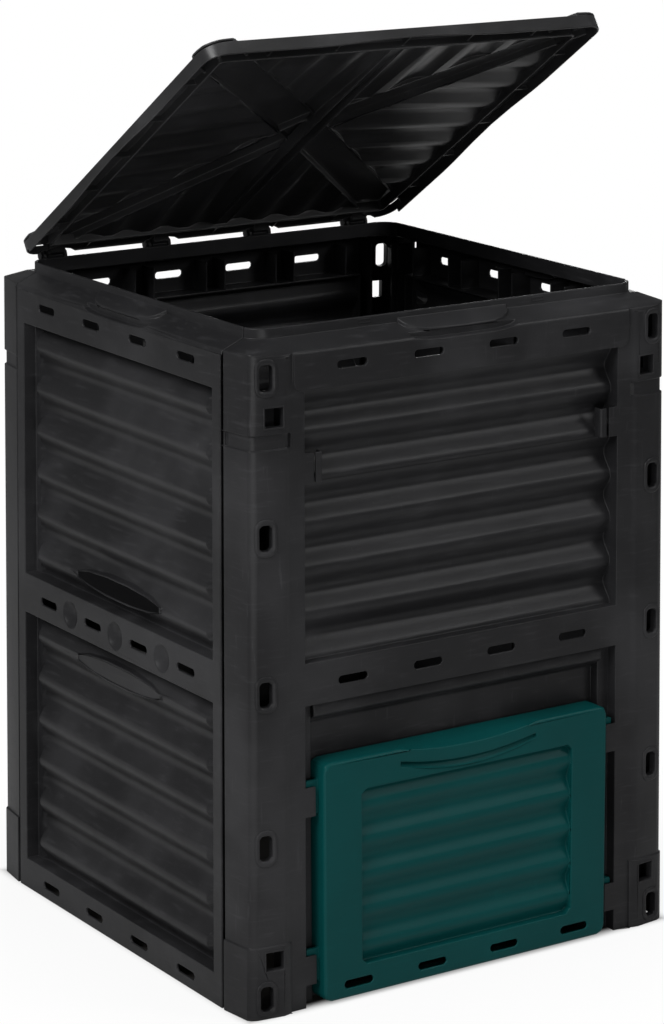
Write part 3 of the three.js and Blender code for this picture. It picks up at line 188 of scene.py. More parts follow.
def noise(tree, place, scale, detail):
    return node(tree, "ShaderNodeTexNoise", {},
                {"Vector": place, "Scale": scale, "Detail": detail,
                 "Roughness": NOISE_ROUGHNESS})


def placed(tree, scale):
    """Object coordinates in metres, stretched by a scale for each direction."""
    place = node(tree, "ShaderNodeTexCoord", {}, {}, "Object")
    return node(tree, "ShaderNodeMapping", {}, {"Vector": place, "Scale": scale})


def blended(tree, mask, first, second):
    """Two colours, mixed by a mask."""
    return node(tree, "ShaderNodeMix", {"data_type": "RGBA"},
                {0: mask, 6: first, 7: second}, 2)


class Mark(NamedTuple):
    """A mark that moulding or handling leaves in plastic, drawn as noise.

    It starts to show at one level of the noise and is full at another. There it makes the
    plastic paler and duller by its two last shares.
    """
    stretch: tuple
    scale: float
    detail: float
    starts: float
    full: float
    paleness: float
    dullness: float


MARKS = (
    Mark((1, 1, 1), 6.0, 3.0, 0.42, 0.72, 0.55, 0.07),     # broad patches
    Mark((3, 3, 26), 9.0, 4.0, 0.52, 0.78, 0.45, 0.05),    # level streaks
    Mark((90, 90, 8), 2.4, 2.0, 0.66, 0.74, 0.40, 0.08),   # upright scuffs
    Mark((1, 1, 1), 900.0, 1.0, 0.62, 0.72, 0.15, -0.04),  # specks
)
NOISE_ROUGHNESS = 0.55
GRAIN_SCALE = 1400.0
GRAIN_HEIGHT = 0.06 * MM
SWELL_SCALE = 22.0
SWELL_HEIGHT = 0.9 * MM
BUMP_DETAIL = 2.0
BUMP_STRENGTH = 0.6
SHEEN = 0.13


def moulded_plastic(name, colour, pale, roughness, grain=1.0, bloom=1.0, sheen=SHEEN):
    """Moulded plastic: a fine grain, slow swells, faint scuffs and a pale bloom."""
    material = bpy.data.materials.new(name)
    material.use_nodes = True
    tree = material.node_tree
    shader = tree.nodes["Principled BSDF"]
    shader.inputs["Specular IOR Level"].default_value = sheen
    cover, dull = 0.0, roughness
    for mark in MARKS:
        pattern = noise(tree, placed(tree, mark.stretch), mark.scale, mark.detail)
        shown = stepped(tree, pattern, mark.starts, mark.full)
        cover = cover + shown * mark.paleness
        dull = dull + shown * mark.dullness
    shade = blended(tree, cover * bloom, (*colour, 1), (*pale, 1))
    tree.links.new(shade.socket, shader.inputs["Base Color"])
    tree.links.new(dull.socket, shader.inputs["Roughness"])
    place = placed(tree, (1, 1, 1))
    height = (noise(tree, place, GRAIN_SCALE, BUMP_DETAIL) * (grain * GRAIN_HEIGHT)
              + noise(tree, place, SWELL_SCALE, BUMP_DETAIL) * SWELL_HEIGHT)
    bump = node(tree, "ShaderNodeBump", {},
                {"Height": height, "Strength": BUMP_STRENGTH, "Distance": 1.0})
    tree.links.new(bump.socket, shader.inputs["Normal"])
    return material


# ---------------------------------------------------------------- mesh work


# How the solids draw a wave, and how finely each of its facets is cut here
WAVE_STEPS = 6
WAVE_CUTS = 3
# How far a place may lie off a sheet of this thickness and still count as on it
WAVE_SLACK = 0.3 * MM
SHEET = 3 * MM
# A face whose normal goes further along the wall than this is a sheet's end
SIDEWAYS = 0.5
WELD = 0.02 * MM
SLIVER = 0.2 * MM
FLAT_DEGREES = 0.2
SHARP_DEGREES = 42.0
EDGE_STEPS = 2
PLATE_EDGE = 0.5 * MM


def merged(cad_node):
    """A merged copy of a CAD node's mesh, with its flat faces made whole."""
    shape = bmesh.new()
    shape.from_mesh(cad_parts[cad_node].data)
    bmesh.ops.remove_doubles(shape, verts=shape.verts, dist=WELD)
    bmesh.ops.dissolve_limit(
        shape, angle_limit=math.radians(FLAT_DEGREES), use_dissolve_boundaries=False,
        verts=shape.verts, edges=shape.edges, delimit=set())
    bmesh.ops.triangulate(shape, faces=shape.faces, quad_method="BEAUTY", ngon_method="BEAUTY")
    return shape


class Waves(NamedTuple):
    """The waves of one corrugated sheet, in the wall's own depth d and height z."""
    half: float
    low: float
    high: float
    count: int
    first: float
    second: float

    def depth(self, z):
        """How deep the true wave lies."""
        turn = (z - self.low) / (self.high - self.low) * self.count * 2 * math.pi
        return self.first + (self.second - self.first) * (1 - math.cos(turn)) / 2

    def chord(self, z):
        """How deep the flat facets lie that the solid has in place of the wave."""
        steps = self.count * WAVE_STEPS
        place = min(max((z - self.low) / (self.high - self.low), 0), 1) * steps
        step = min(int(place), steps - 1)
        ends = [self.depth(self.low + (self.high - self.low) * i / steps)
                for i in (step, step + 1)]
        return ends[0] + (ends[1] - ends[0]) * (place - step)

    def heights(self):
        """Where facets are cut: between the heights at which they already meet."""
        steps = self.count * WAVE_STEPS * WAVE_CUTS
        for i in range(1, steps):
            if i % WAVE_CUTS:
                yield self.low + (self.high - self.low) * i / steps


def on_sheet(waves, place):
    """Whether a place lies on the front or the back of a corrugated sheet."""
    gaps = [place.y - level - back for back in (0, SHEET)
            for level in (waves.chord(place.z), waves.depth(place.z))]
    return min(map(abs, gaps)) < WAVE_SLACK


def wave_faces(shape, waves, to_wall):
    """The faces of a sheet, front and back, that don't look sideways."""
    found = []
    for face in shape.faces:
        middle = to_wall @ face.calc_center_median()
        if abs(middle.x) > waves.half or not waves.low < middle.z < waves.high:
            continue
        normal = to_wall.to_3x3() @ face.normal
        if abs(normal.x) < SIDEWAYS and all(on_sheet(waves, to_wall @ v.co) for v in face.verts):
            found.append(face)
    return found


def smooth_waves(shape, waves, to_wall):
    """Cuts each facet of a sheet into finer ones and moves them on to the true wave."""
    back = to_wall.inverted()
    for height in waves.heights():
        faces = wave_faces(shape, waves, to_wall)
        near = [f for f in faces
                if min(v.co.z for v in f.verts) < height < max(v.co.z for v in f.verts)]
        edges = {e for f in near for e in f.edges}
        verts = {v for f in near for v in f.verts}
        cut = bmesh.ops.bisect_plane(
            shape, geom=[*near, *edges, *verts], dist=WELD, plane_co=(0, 0, height),
            plane_no=(0, 0, 1))
        move = Vector((0, waves.depth(height) - waves.chord(height), 0))
        for vert in {v for v in cut["geom_cut"] if isinstance(v, bmesh.types.BMVert)}:
            vert.co = back @ (to_wall @ vert.co + move)
    bmesh.ops.dissolve_degenerate(shape, dist=SLIVER, edges=shape.edges)
    bmesh.ops.triangulate(shape, faces=[f for f in shape.faces if len(f.verts) > 4])


def piece_of(shape, name, material, body):
    """A finished mesh as a piece that rides on a body."""
    mesh = bpy.data.meshes.new(name)
    shape.to_mesh(mesh)
    shape.free()
    mesh.materials.append(material)
    mesh.shade_smooth()
    mesh.set_sharp_from_angle(angle=math.radians(SHARP_DEGREES))
    piece = bpy.data.objects.new(name, mesh)
    bpy.context.scene.collection.objects.link(piece)
    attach(piece, body)
    return piece


def round_edges(piece, width):
    """Rounds the sharp edges as the mould's cutter left them, and keeps flat faces flat."""
    bevel = piece.modifiers.new("moulded_edges", "BEVEL")
    bevel.width = width
    bevel.segments = EDGE_STEPS
    bevel.limit_method = "ANGLE"
    bevel.angle_limit = math.radians(SHARP_DEGREES)
    bevel.use_clamp_overlap = False
    flat = piece.modifiers.new("flat_faces", "WEIGHTED_NORMAL")
    flat.keep_sharp = True


# How much every wall leans in for each metre of height
LEAN = 0.0125
# From the bin's middle to the outer faces of its walls, at the foot
HALF_DEPTH = 301.5 * MM
HALF_WIDTH = 308.5 * MM


def wall_view(distance, turn):
    """From the bin's place to a wall's own: u along it, d inwards from its leaning face, z up."""
    lean = Matrix(((1, 0, 0, 0), (0, 1, -LEAN, 0), (0, 0, 1, 0), (0, 0, 0, 1)))
    return lean @ Matrix.Translation((0, distance, 0)) @ Matrix.Rotation(-turn, 4, "Z")


WALL_VIEWS = {
    "front_wall": wall_view(HALF_DEPTH, 0),
    "back_wall": wall_view(HALF_DEPTH, math.pi),
    "left_wall": wall_view(HALF_WIDTH, -math.pi / 2),
    "right_wall": wall_view(HALF_WIDTH, math.pi / 2),
    "hatch": wall_view(HALF_DEPTH, 0),
}
# Half width, foot, head, how many waves, and how deep each starts and swings to
FRONT_UPPER = Waves(226 * MM, 417.5 * MM, 735.5 * MM, 6, 13 * MM, 26 * MM)
BACK_LOWER = Waves(226 * MM, 39.5 * MM, 367.5 * MM, 6, 13 * MM, 26 * MM)
SIDE_UPPER = Waves(204.5 * MM, 417.5 * MM, 735.5 * MM, 6, 20 * MM, 6 * MM)
SIDE_LOWER = Waves(204.5 * MM, 39.5 * MM, 367.5 * MM, 6, 20 * MM, 6 * MM)
HATCH_PANEL = Waves(152.5 * MM, 41.5 * MM, 257.5 * MM, 5, 2 * MM, -5.5 * MM)
SHEETS = {
    "front_wall": (FRONT_UPPER,),
    "back_wall": (FRONT_UPPER, BACK_LOWER),
    "left_wall": (SIDE_UPPER, SIDE_LOWER),
    "right_wall": (SIDE_UPPER, SIDE_LOWER),
    "hatch": (HATCH_PANEL,),
}


def draw_out(shape, way):
    """Draws a flat outline out into a closed block."""
    drawn = bmesh.ops.extrude_face_region(shape, geom=shape.faces)["geom"]
    far = [part for part in drawn if isinstance(part, bmesh.types.BMVert)]
    bmesh.ops.translate(shape, verts=far, vec=way)


def hole_block(ring, depth, matrix):
    """A block as large as a hole, from in front of a wall's face to a depth behind it."""
    places = rounded_ring(ring)
    shape = bmesh.new()
    verts = bmesh.ops.create_circle(
        shape, cap_ends=True, segments=len(places), radius=1)["verts"]
    for vert, place in zip(verts, places):
        vert.co = place
    draw_out(shape, (0, depth - places[0].y, 0))
    bmesh.ops.transform(shape, verts=shape.verts, matrix=matrix)
    bmesh.ops.recalc_face_normals(shape, faces=shape.faces)
    return shape


def opened(shape, blocks):
    """The shape with each block cut out of it."""
    whole = loose_object("wall", shape)
    for block in blocks:
        cutter = loose_object("cutter", block)
        cut = whole.modifiers.new("cut", "BOOLEAN")
        cut.operation = "DIFFERENCE"
        cut.solver = "EXACT"
        cut.object = cutter
    evaluated = whole.evaluated_get(bpy.context.evaluated_depsgraph_get())
    result = bmesh.new()
    result.from_mesh(evaluated.to_mesh())
    evaluated.to_mesh_clear()
    for modifier in list(whole.modifiers):
        drop(modifier.object)
    drop(whole)
    bmesh.ops.remove_doubles(result, verts=result.verts, dist=WELD)
    bmesh.ops.triangulate(result, faces=result.faces)
    return result


def loose_object(name, shape):
    """A mesh object that is needed only while others are made."""
    mesh = bpy.data.meshes.new(name)
    shape.to_mesh(mesh)
    shape.free()
    made = bpy.data.objects.new(name, mesh)
    bpy.context.scene.collection.objects.link(made)
    return made


def drop(thing):
    mesh = thing.data
    bpy.data.objects.remove(thing)
    bpy.data.meshes.remove(mesh)


# The dark seam beside each post: how far from the side wall's middle it starts and ends
SEAM = (248.2 * MM, 252.45 * MM)
SEAM_DEPTH = 7 * MM
SEAM_TOP = 768 * MM
# How much longer the block is that cuts it, so that it is open at the foot
SEAM_OVERRUN = 1.02


def seam_block(wall, way):
    """A block that opens the seam between a side wall and the post beside it."""
    shape = bmesh.new()
    middle = Matrix.Translation((way * sum(SEAM) / 2, 0, SEAM_TOP / 2))
    size = Matrix.Diagonal(
        (SEAM[1] - SEAM[0], SEAM_DEPTH * 2, SEAM_TOP * SEAM_OVERRUN, 1))
    bmesh.ops.create_cube(shape, size=1, matrix=WALL_VIEWS[wall].inverted() @ middle @ size)
    for vert in shape.verts:
        vert.co.y -= math.copysign(LEAN * vert.co.z, vert.co.y)
    return shape


def dressed(cad_node, name, material, body, edge, holes=()):
    """A finished copy of a CAD node that stands for it."""
    shape = merged(cad_node)
    if holes:
        shape = opened(shape, holes)
    for waves in SHEETS.get(cad_node, ()):
        smooth_waves(shape, waves, WALL_VIEWS[cad_node])
    piece = piece_of(shape, name, material, body)
    round_edges(piece, edge)
    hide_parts(cad_node)


# Rings in mm: half the width, half the height, the corners' radius, how deep the ring lies
OVAL_RIM = (
    (13.8, 22.0, 11.5, 0.5), (13.5, 21.7, 11.2, -0.9), (12.7, 20.9, 10.6, -1.5),
    (10.3, 17.6, 7.2, -1.5), (9.2, 16.2, 6.0, -0.9), (8.1, 15.1, 5.0, -0.2),
    (8.0, 15.0, 4.9, 9.0), (9.6, 16.6, 6.4, 9.0), (9.6, 16.6, 6.4, 0.5),
)
SQUARE_RIM = (
    (13.4, 13.4, 2.2, 0.5), (13.2, 13.2, 2.0, -0.5), (12.6, 12.6, 1.6, -0.8),
    (11.5, 11.5, 1.2, -0.5), (11.1, 11.1, 1.0, 0.1), (11.0, 11.0, 1.0, 9.0),
    (12.6, 12.6, 1.6, 9.0), (12.6, 12.6, 1.6, 0.5),
)
LATCH_RIM = (
    (9.4, 3.0, 1.2, 0.4), (9.2, 2.8, 1.1, -0.5), (8.7, 2.3, 0.9, -0.7),
    (7.8, 1.5, 0.7, -0.5), (7.5, 1.2, 0.6, 0.1), (7.4, 1.1, 0.6, 1.6),
    (8.9, 2.6, 1.0, 1.6),
)
# What is cut out of a post for its top window: from in front of its face to behind it
WINDOW_CUT = (8.5, 15.5, 4.9, -12.0)
WINDOW_CUT_DEPTH = 10 * MM
RIM_STEPS = 5
# How far outside the bin a ray starts that looks for a wall's face
PROBE_REACH = 60 * MM


def rounded_ring(ring):
    """The points, in order, of an upright rectangle with round corners that faces the front."""
    half_x, half_z, radius, depth = (length * MM for length in ring)
    flat = bmesh.new()
    corners = bmesh.ops.create_circle(
        flat, cap_ends=True, segments=4, radius=math.sqrt(2),
        matrix=Matrix.Rotation(math.pi / 4, 4, "Z"))["verts"]
    upright = Matrix.Rotation(math.pi / 2, 4, "X") @ Matrix.Diagonal((half_x, half_z, 1, 1))
    bmesh.ops.transform(flat, verts=corners, matrix=Matrix.Translation((0, depth, 0)) @ upright)
    bmesh.ops.bevel(flat, geom=corners, offset=radius, offset_type="OFFSET",
                    segments=RIM_STEPS, profile=0.5, affect="VERTICES", material=-1)
    flat.faces.ensure_lookup_table()
    places = [vert.co.copy() for vert in flat.faces[0].verts]
    flat.free()
    return places


def rim_shape(rings):
    """A moulded rim: one ring is drawn out to the next, and the last to the first."""
    places = [rounded_ring(ring) for ring in rings]
    shape = bmesh.new()
    verts = bmesh.ops.create_circle(shape, segments=len(places[0]), radius=1)["verts"]
    for vert, place in zip(verts, places[0]):
        vert.co = place
    edges = list(shape.edges)
    for before, after in zip(places, places[1:] + places[:1]):
        moves = {tuple(old): new for old, new in zip(before, after)}
        drawn = bmesh.ops.extrude_edge_only(shape, edges=edges)["geom"]
        edges = [part for part in drawn if isinstance(part, bmesh.types.BMEdge)]
        for vert in {v for e in edges for v in e.verts}:
            vert.co = moves[tuple(vert.co)]
    bmesh.ops.remove_doubles(shape, verts=shape.verts, dist=WELD)
    bmesh.ops.recalc_face_normals(shape, faces=shape.faces)
    return shape


def face_of(tree, x, z, side):
    """Where a wall's outer face lies at a place, and which way it looks."""
    start = Vector((x, side * (CAD_BOX[1][1] + PROBE_REACH), z))
    place, normal, _, _ = tree.ray_cast(start, Vector((0, -side, 0)))
    if place is None:
        raise ValueError(f"no wall face at {x:.3f}, {z:.3f}")
    return place, normal


def stood_on(tree, x, z, side, clear):
    """The place and turn of a rim whose middle is a hole, from the face above and below it."""
    above, normal = face_of(tree, x, z + clear, side)
    below, _ = face_of(tree, x, z - clear, side)
    across = (above - below).normalized()
    inwards = -(normal - across * normal.dot(across)).normalized()
    turn = Matrix((inwards.cross(across), inwards, across)).transposed().to_4x4()
    return Matrix.Translation((above + below) / 2) @ turn


def joined_rims(rings, matrices):
    """Copies of one rim at several places, as one shape."""
    whole = bmesh.new()
    for matrix in matrices:
        part = rim_shape(rings)
        bmesh.ops.transform(part, verts=part.verts, matrix=matrix)
        mesh = bpy.data.meshes.new("rim")
        part.to_mesh(mesh)
        part.free()
        whole.from_mesh(mesh)
        bpy.data.meshes.remove(mesh)
    return whole


# ---------------------------------------------------------------- pieces


LID_ROUGHNESS = 0.33
LID_SHEEN = 0.2
# Painted shade on the upper plaques: darker, duller plastic with little sheen, for the shade in
# their recess
PLAQUE_ROUGHNESS = 0.7
PLAQUE_GRAIN = 2.0
PLAQUE_SHEEN = 0.03
HATCH_BLOOM = 0.7
HATCH_SHEEN = 0.07


def black_plastic():
    settings = bpy.context.scene.composter_bin
    return bpy.data.materials.get("black_plastic") or moulded_plastic(
        "black_plastic", settings.black, settings.dust, settings.gloss)


def plaque_painted_shade():
    settings = bpy.context.scene.composter_bin
    return bpy.data.materials.get("plaque_painted_shade") or moulded_plastic(
        "plaque_painted_shade", settings.plaque_shade_colour, settings.plaque_shade_colour, PLAQUE_ROUGHNESS,
        grain=PLAQUE_GRAIN, sheen=PLAQUE_SHEEN)


# Each clear length leads from a hole's middle up and down to where the wall's face is whole
WINDOW_COUNT = 5
WINDOW_CLEAR = 18.5 * MM
SQUARE_HEIGHTS = (70 * MM, 709.5 * MM)
SQUARE_CLEAR = 13 * MM
LATCH_HEIGHT = 799 * MM
LATCH_CLEAR = 4 * MM


def window_places(settings):
    """Where the windows of a post stand, from the lowest to the highest."""
    return [(settings.window_x, settings.window_z + i * settings.window_pitch)
            for i in range(WINDOW_COUNT)]


def stood_rims(wall, places, clear):
    """Where a wall's holes stand, on its left and right: both narrow with height."""
    side = POST_WALLS[wall]
    shape = merged(wall)
    tree = BVHTree.FromBMesh(shape)
    shape.free()
    return [stood_on(tree, way * (x - LEAN * z), z, side, clear)
            for x, z in places for way in (-1, 1)]


class DressWalls(bpy.types.Operator):
    """Round the edges of the four ribbed walls and give them their plastic"""
    bl_idname = "composter.walls"
    bl_label = "Walls"

    def execute(self, context):
        settings = context.scene.composter_bin
        for wall in POST_WALLS:
            top = stood_rims(wall, window_places(settings)[-1:], WINDOW_CLEAR)
            self.dress(wall, [hole_block(WINDOW_CUT, WINDOW_CUT_DEPTH, place) for place in top])
        for wall in SIDE_WALLS:
            self.dress(wall, [seam_block(wall, way) for way in (-1, 1)])
        return {"FINISHED"}

    def dress(self, wall, holes):
        dressed(wall, wall + "_moulding", black_plastic(), "bin",
                bpy.context.scene.composter_bin.edge, holes)


class MouldRims(bpy.types.Operator):
    """Raise the moulded rims round the windows, squares and latch slots"""
    bl_idname = "composter.rims"
    bl_label = "Window rims"

    def execute(self, context):
        settings = context.scene.composter_bin
        squares = [(settings.square_x, z) for z in SQUARE_HEIGHTS]
        # The latch slots' place is measured at their own height, not at the foot
        latches = [(settings.latch_x + LEAN * LATCH_HEIGHT, LATCH_HEIGHT)]
        for wall in POST_WALLS:
            for name, places, rings, clear in (
                    ("window", window_places(settings), OVAL_RIM, WINDOW_CLEAR),
                    ("square", squares, SQUARE_RIM, SQUARE_CLEAR),
                    ("latch", latches, LATCH_RIM, LATCH_CLEAR)):
                rims = joined_rims(rings, stood_rims(wall, places, clear))
                piece_of(rims, f"{wall}_{name}_rims", black_plastic(), "bin")
        return {"FINISHED"}


# A bent plate's section in mm: how far from the wall's middle, how deep
HOOK_SECTION = (
    (214.0, 0.9), (209.5, 0.7), (207.0, 0.9), (205.4, 1.9), (204.7, 3.6), (204.5, 8.0),
    (204.4, 12.5),
)
HOOK_PLATE = 2.2 * MM
HOOK_HEIGHTS = (627.5 * MM, 662.5 * MM)


def bent_plate(section, heights, thickness, way):
    """A plate bent round an upright edge: a strip of faces, given its thickness."""
    shape = bmesh.new()
    bmesh.ops.create_grid(shape, x_segments=len(section) - 1, y_segments=1, size=1)
    for vert in shape.verts:
        step = round((vert.co.x + 1) / 2 * (len(section) - 1))
        along, deep = section[step]
        height = heights[0] if vert.co.y < 0 else heights[1]
        vert.co = (way * along * MM, deep * MM, height)
    bmesh.ops.recalc_face_normals(shape, faces=shape.faces)
    bmesh.ops.solidify(shape, geom=shape.faces, thickness=thickness)
    bmesh.ops.recalc_face_normals(shape, faces=shape.faces)
    return shape


class BendHooks(bpy.types.Operator):
    """Bend the two upper pockets' plates round to the corrugated sheet"""
    bl_idname = "composter.hooks"
    bl_label = "Pocket hooks"

    def execute(self, context):
        out_of_wall = WALL_VIEWS["front_wall"].inverted()
        for name, way in (("left", -1), ("right", 1)):
            shape = bent_plate(HOOK_SECTION, HOOK_HEIGHTS, HOOK_PLATE, way)
            bmesh.ops.transform(shape, verts=shape.verts, matrix=out_of_wall)
            for vert in shape.verts:
                vert.co.x -= way * LEAN * vert.co.z
            piece = piece_of(
                shape, f"front_wall_{name}_hook", black_plastic(), "bin")
            round_edges(piece, PLATE_EDGE)
        return {"FINISHED"}


class DressLid(bpy.types.Operator):
    """Round the edges of the lid and give it its plastic"""
    bl_idname = "composter.lid"
    bl_label = "Lid"

    def execute(self, context):
        settings = context.scene.composter_bin
        # Painted light: a lighter copy of the walls' black, so that the lid reads brighter
        black = moulded_plastic("lid_painted_light", settings.lid, settings.dust, LID_ROUGHNESS,
                                sheen=LID_SHEEN)
        dressed("lid", "lid_moulding", black, "lid", settings.edge)
        return {"FINISHED"}


PLAQUE_HALF_LENGTH = 100 * MM
PLAQUE_HALF_HEIGHT = 10.6 * MM
PLAQUE_HEIGHTS = (339.75 * MM, 445.25 * MM)
PLAQUE_FACE = 4.6 * MM
PLAQUE_THICKNESS = 1.6 * MM
PLAQUE_POINTS = 64


def plaque_plate(height, matrix):
    """A bare oval plate with a soft edge, in a side wall's own view."""
    shape = bmesh.new()
    bmesh.ops.create_circle(shape, cap_ends=True, segments=PLAQUE_POINTS, radius=1)
    draw_out(shape, (0, 0, 1))
    upright = Matrix.Rotation(math.pi / 2, 4, "X") @ Matrix.Diagonal(
        (PLAQUE_HALF_LENGTH, PLAQUE_HALF_HEIGHT, -PLAQUE_THICKNESS, 1))
    place = Matrix.Translation((0, PLAQUE_FACE, height))
    bmesh.ops.transform(shape, verts=shape.verts, matrix=matrix @ place @ upright)
    bmesh.ops.recalc_face_normals(shape, faces=shape.faces)
    return shape


class SetPlaques(bpy.types.Operator):
    """Set the bare oval plates in the side walls' plaques"""
    bl_idname = "composter.plaques"
    bl_label = "Plaques"

    def execute(self, context):
        for wall in SIDE_WALLS:
            out_of_wall = WALL_VIEWS[wall].inverted()
            for name, height in zip(("lower", "upper"), PLAQUE_HEIGHTS):
                # The upper plaques are painted dark as painted shade of their recess; the lower
                # ones keep the walls' black
                plastic = plaque_painted_shade() if name == "upper" else black_plastic()
                piece = piece_of(plaque_plate(height, out_of_wall), f"{wall}_{name}_plaque",
                                 plastic, "bin")
                round_edges(piece, PLATE_EDGE)
        return {"FINISHED"}


class DressPins(bpy.types.Operator):
    """Give the hinge pins their plastic"""
    bl_idname = "composter.pins"
    bl_label = "Hinge pins"

    def execute(self, context):
        for pin in PINS:
            dressed(pin, pin + "_turned", black_plastic(), "bin", PLATE_EDGE)
        return {"FINISHED"}


class DressHatch(bpy.types.Operator):
    """Round the edges of the hatch and give it its green plastic"""
    bl_idname = "composter.hatch"
    bl_label = "Hatch"

    def execute(self, context):
        settings = context.scene.composter_hatch
        green = moulded_plastic("green_plastic", settings.green, settings.pale,
                                settings.gloss, bloom=HATCH_BLOOM, sheen=HATCH_SHEEN)
        dressed("hatch", "hatch_moulding", green, "hatch", settings.edge)
        return {"FINISHED"}


# ---------------------------------------------------------------- stage


# Each lamp: where it stands, what it shines at, its width and height, and its power in watts
LAMPS = {
    "left_lamp": ((-3.0, -0.9, 3.0), (0, 0, 0.45), 1.8, 1.8, 188),
    "right_lamp": ((1.9, -2.5, 2.3), (0, 0, 0.45), 1.0, 1.0, 34),
    "top_lamp": ((0.0, -0.6, 3.2), (0, 0, 0.5), 2.0, 2.0, 36),
    "rear_lamp": ((2.4, 3.2, 0.75), (0, 0, 0.5), 1.8, 1.0, 80),
    "low_lamp": ((-1.6, -3.2, 0.4), (0, 0, 1.0), 1.6, 0.6, 34),
}
WORLD_LIGHT = 0.22
CAMERA_REACH = 100

FLOOR_HALF = 12
FLOOR_ROUGHNESS = 0.9
FLOOR_SHEEN = 0.1
# How white the camera sees the floor beside the bin, and how far off it is all white
FLOOR_LIFT = 0.88
FLOOR_CLEAR = 0.35
# From the painted shade, a dark floor colour inside the bin's outline, to the pale floor outside
# it
OUTLINE_BAND = (-0.02, 0.01)
WHITE = (1, 1, 1, 1)


def soft_lamp(name, place, target, width, height, power):
    lamp = bpy.data.lights.new(name, "AREA")
    lamp.shape = "RECTANGLE"
    lamp.size = width
    lamp.size_y = height
    lamp.energy = power
    holder = bpy.data.objects.new(name, lamp)
    bpy.context.scene.collection.objects.link(holder)
    holder.location = place
    way = Vector(target) - Vector(place)
    holder.rotation_euler = way.to_track_quat("-Z", "Y").to_euler()


def seen_by_camera(tree):
    return node(tree, "ShaderNodeLightPath", {}, {}, "Is Camera Ray")


def beside_bin(tree):
    """How far a place on the floor lies outside the bin's footprint."""
    place = node(tree, "ShaderNodeTexCoord", {}, {}, "Object")
    beyond = []
    for axis in (0, 1):
        along = node(tree, "ShaderNodeSeparateXYZ", {}, (place,), axis)
        away = node(tree, "ShaderNodeMath", {"operation": "ABSOLUTE"}, (along,))
        beyond.append(away - CAD_BOX[1][axis])
    return node(tree, "ShaderNodeMath", {"operation": "MAXIMUM"}, beyond)


def studio_floor(colour, inside):
    """A pale floor that the camera sees as white, but for the bin's shadow and for painted shade:
    a dark colour inside the bin's outline.
    """
    shape = bmesh.new()
    bmesh.ops.create_grid(shape, x_segments=1, y_segments=1, size=FLOOR_HALF)
    mesh = bpy.data.meshes.new("studio_floor")
    shape.to_mesh(mesh)
    shape.free()
    material = bpy.data.materials.new("studio_floor")
    material.use_nodes = True
    tree = material.node_tree
    shader = tree.nodes["Principled BSDF"]
    shader.inputs["Roughness"].default_value = FLOOR_ROUGHNESS
    shader.inputs["Specular IOR Level"].default_value = FLOOR_SHEEN
    beyond = beside_bin(tree)
    outside = stepped(tree, beyond, *OUTLINE_BAND)
    # Painted shade: the floor is coloured dark inside the bin's outline, and there the camera
    # sees it without the white
    shade = blended(tree, outside, (*inside, 1), (*colour, 1))
    tree.links.new(shade.socket, shader.inputs["Base Color"])
    near = outside * FLOOR_LIFT
    far = stepped(tree, beyond, 0, FLOOR_CLEAR) * (1 - FLOOR_LIFT)
    lit = Field(tree, shader.outputs["BSDF"])
    white = node(tree, "ShaderNodeEmission", {}, {"Color": WHITE, "Strength": 1.0})
    mixed = node(tree, "ShaderNodeMixShader", {},
                 (seen_by_camera(tree) * (near + far), lit, white))
    tree.links.new(mixed.socket, tree.nodes["Material Output"].inputs["Surface"])
    mesh.materials.append(material)
    floor = bpy.data.objects.new("studio_floor", mesh)
    bpy.context.scene.collection.objects.link(floor)


def studio_world():
    """A soft light from all round, in front of a white background."""
    world = bpy.data.worlds.new("studio")
    world.use_nodes = True
    tree = world.node_tree
    tree.nodes.clear()
    lit = node(tree, "ShaderNodeBackground", {}, {"Color": WHITE, "Strength": WORLD_LIGHT})
    plain = node(tree, "ShaderNodeBackground", {}, {"Color": WHITE, "Strength": 1.0})
    mixed = node(tree, "ShaderNodeMixShader", {}, (seen_by_camera(tree), lit, plain))
    out = tree.nodes.new("ShaderNodeOutputWorld")
    tree.links.new(mixed.socket, out.inputs["Surface"])
    bpy.context.scene.world = world


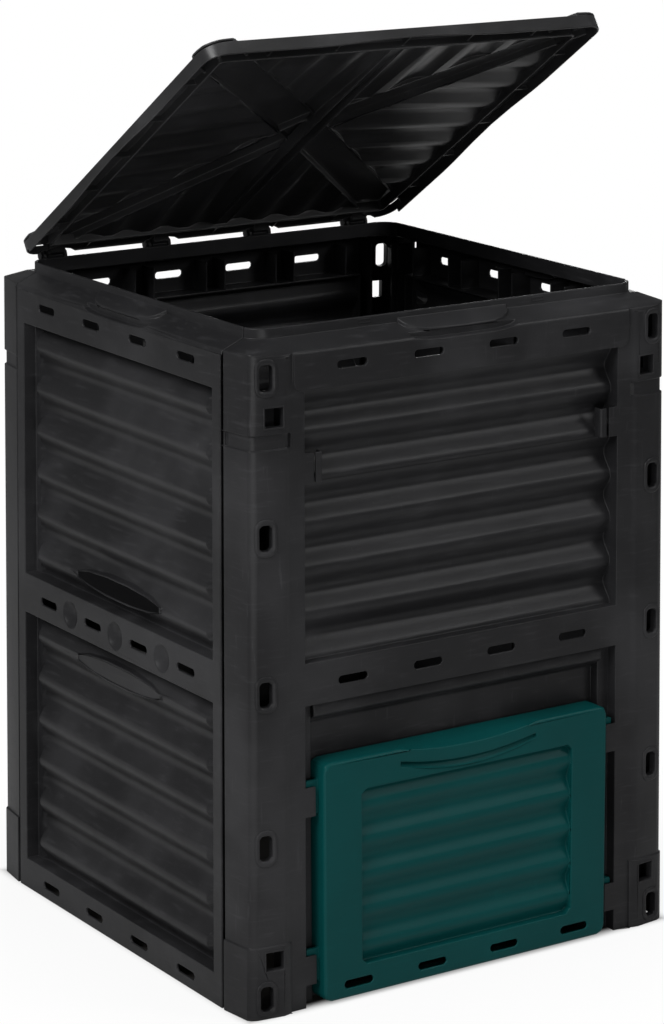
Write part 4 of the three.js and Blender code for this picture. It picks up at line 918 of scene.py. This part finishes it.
class BuildStage(bpy.types.Operator):
    """Make the floor, the lamps and the camera of the studio"""
    bl_idname = "composter.stage"
    bl_label = "Stage"

    def execute(self, context):
        scene = context.scene
        settings = scene.composter_stage
        studio_floor(settings.floor, settings.painted_shade)
        studio_world()
        for name, lamp in LAMPS.items():
            soft_lamp(name, *lamp)
        camera = bpy.data.cameras.new("photo_camera")
        camera.lens = settings.camera_lens
        camera.clip_end = CAMERA_REACH
        holder = bpy.data.objects.new("photo_camera", camera)
        scene.collection.objects.link(holder)
        holder.location = settings.camera_place
        holder.rotation_euler = (math.pi / 2 - settings.camera_dip, 0, -settings.camera_turn)
        scene.camera = holder
        scene.view_settings.view_transform = "Standard"
        return {"FINISHED"}


# ---------------------------------------------------------------- add-on


class ComposterPanel(bpy.types.Panel):
    """The composter's pieces and settings"""
    bl_idname = "VIEW3D_PT_composter"
    bl_label = "Composter"
    bl_space_type = "VIEW_3D"
    bl_region_type = "UI"
    bl_category = "Composter"

    def draw(self, context):
        for group in SETTINGS:
            box = self.layout.box()
            settings = getattr(context.scene, group)
            for name in settings.__annotations__:
                box.prop(settings, name)
        for operator in OPERATORS:
            self.layout.operator(operator.bl_idname)


SETTINGS = {
    "composter_bin": BinSettings,
    "composter_hatch": HatchSettings,
    "composter_stage": StageSettings,
}
OPERATORS = (DressWalls, MouldRims, BendHooks, SetPlaques, DressLid, DressPins, DressHatch,
             BuildStage)


def register():
    for group in SETTINGS.values():
        bpy.utils.register_class(group)
    for name, group in SETTINGS.items():
        setattr(bpy.types.Scene, name, bpy.props.PointerProperty(type=group))
    for operator in (*OPERATORS, ComposterPanel):
        bpy.utils.register_class(operator)


def unregister():
    for operator in reversed((*OPERATORS, ComposterPanel)):
        bpy.utils.unregister_class(operator)
    for name in SETTINGS:
        delattr(bpy.types.Scene, name)
    for group in reversed(SETTINGS.values()):
        bpy.utils.unregister_class(group)


def main():
    register()
    for operator in OPERATORS:
        group, name = operator.bl_idname.split(".")
        getattr(getattr(bpy.ops, group), name)()


if __name__ == "__main__":
    main()
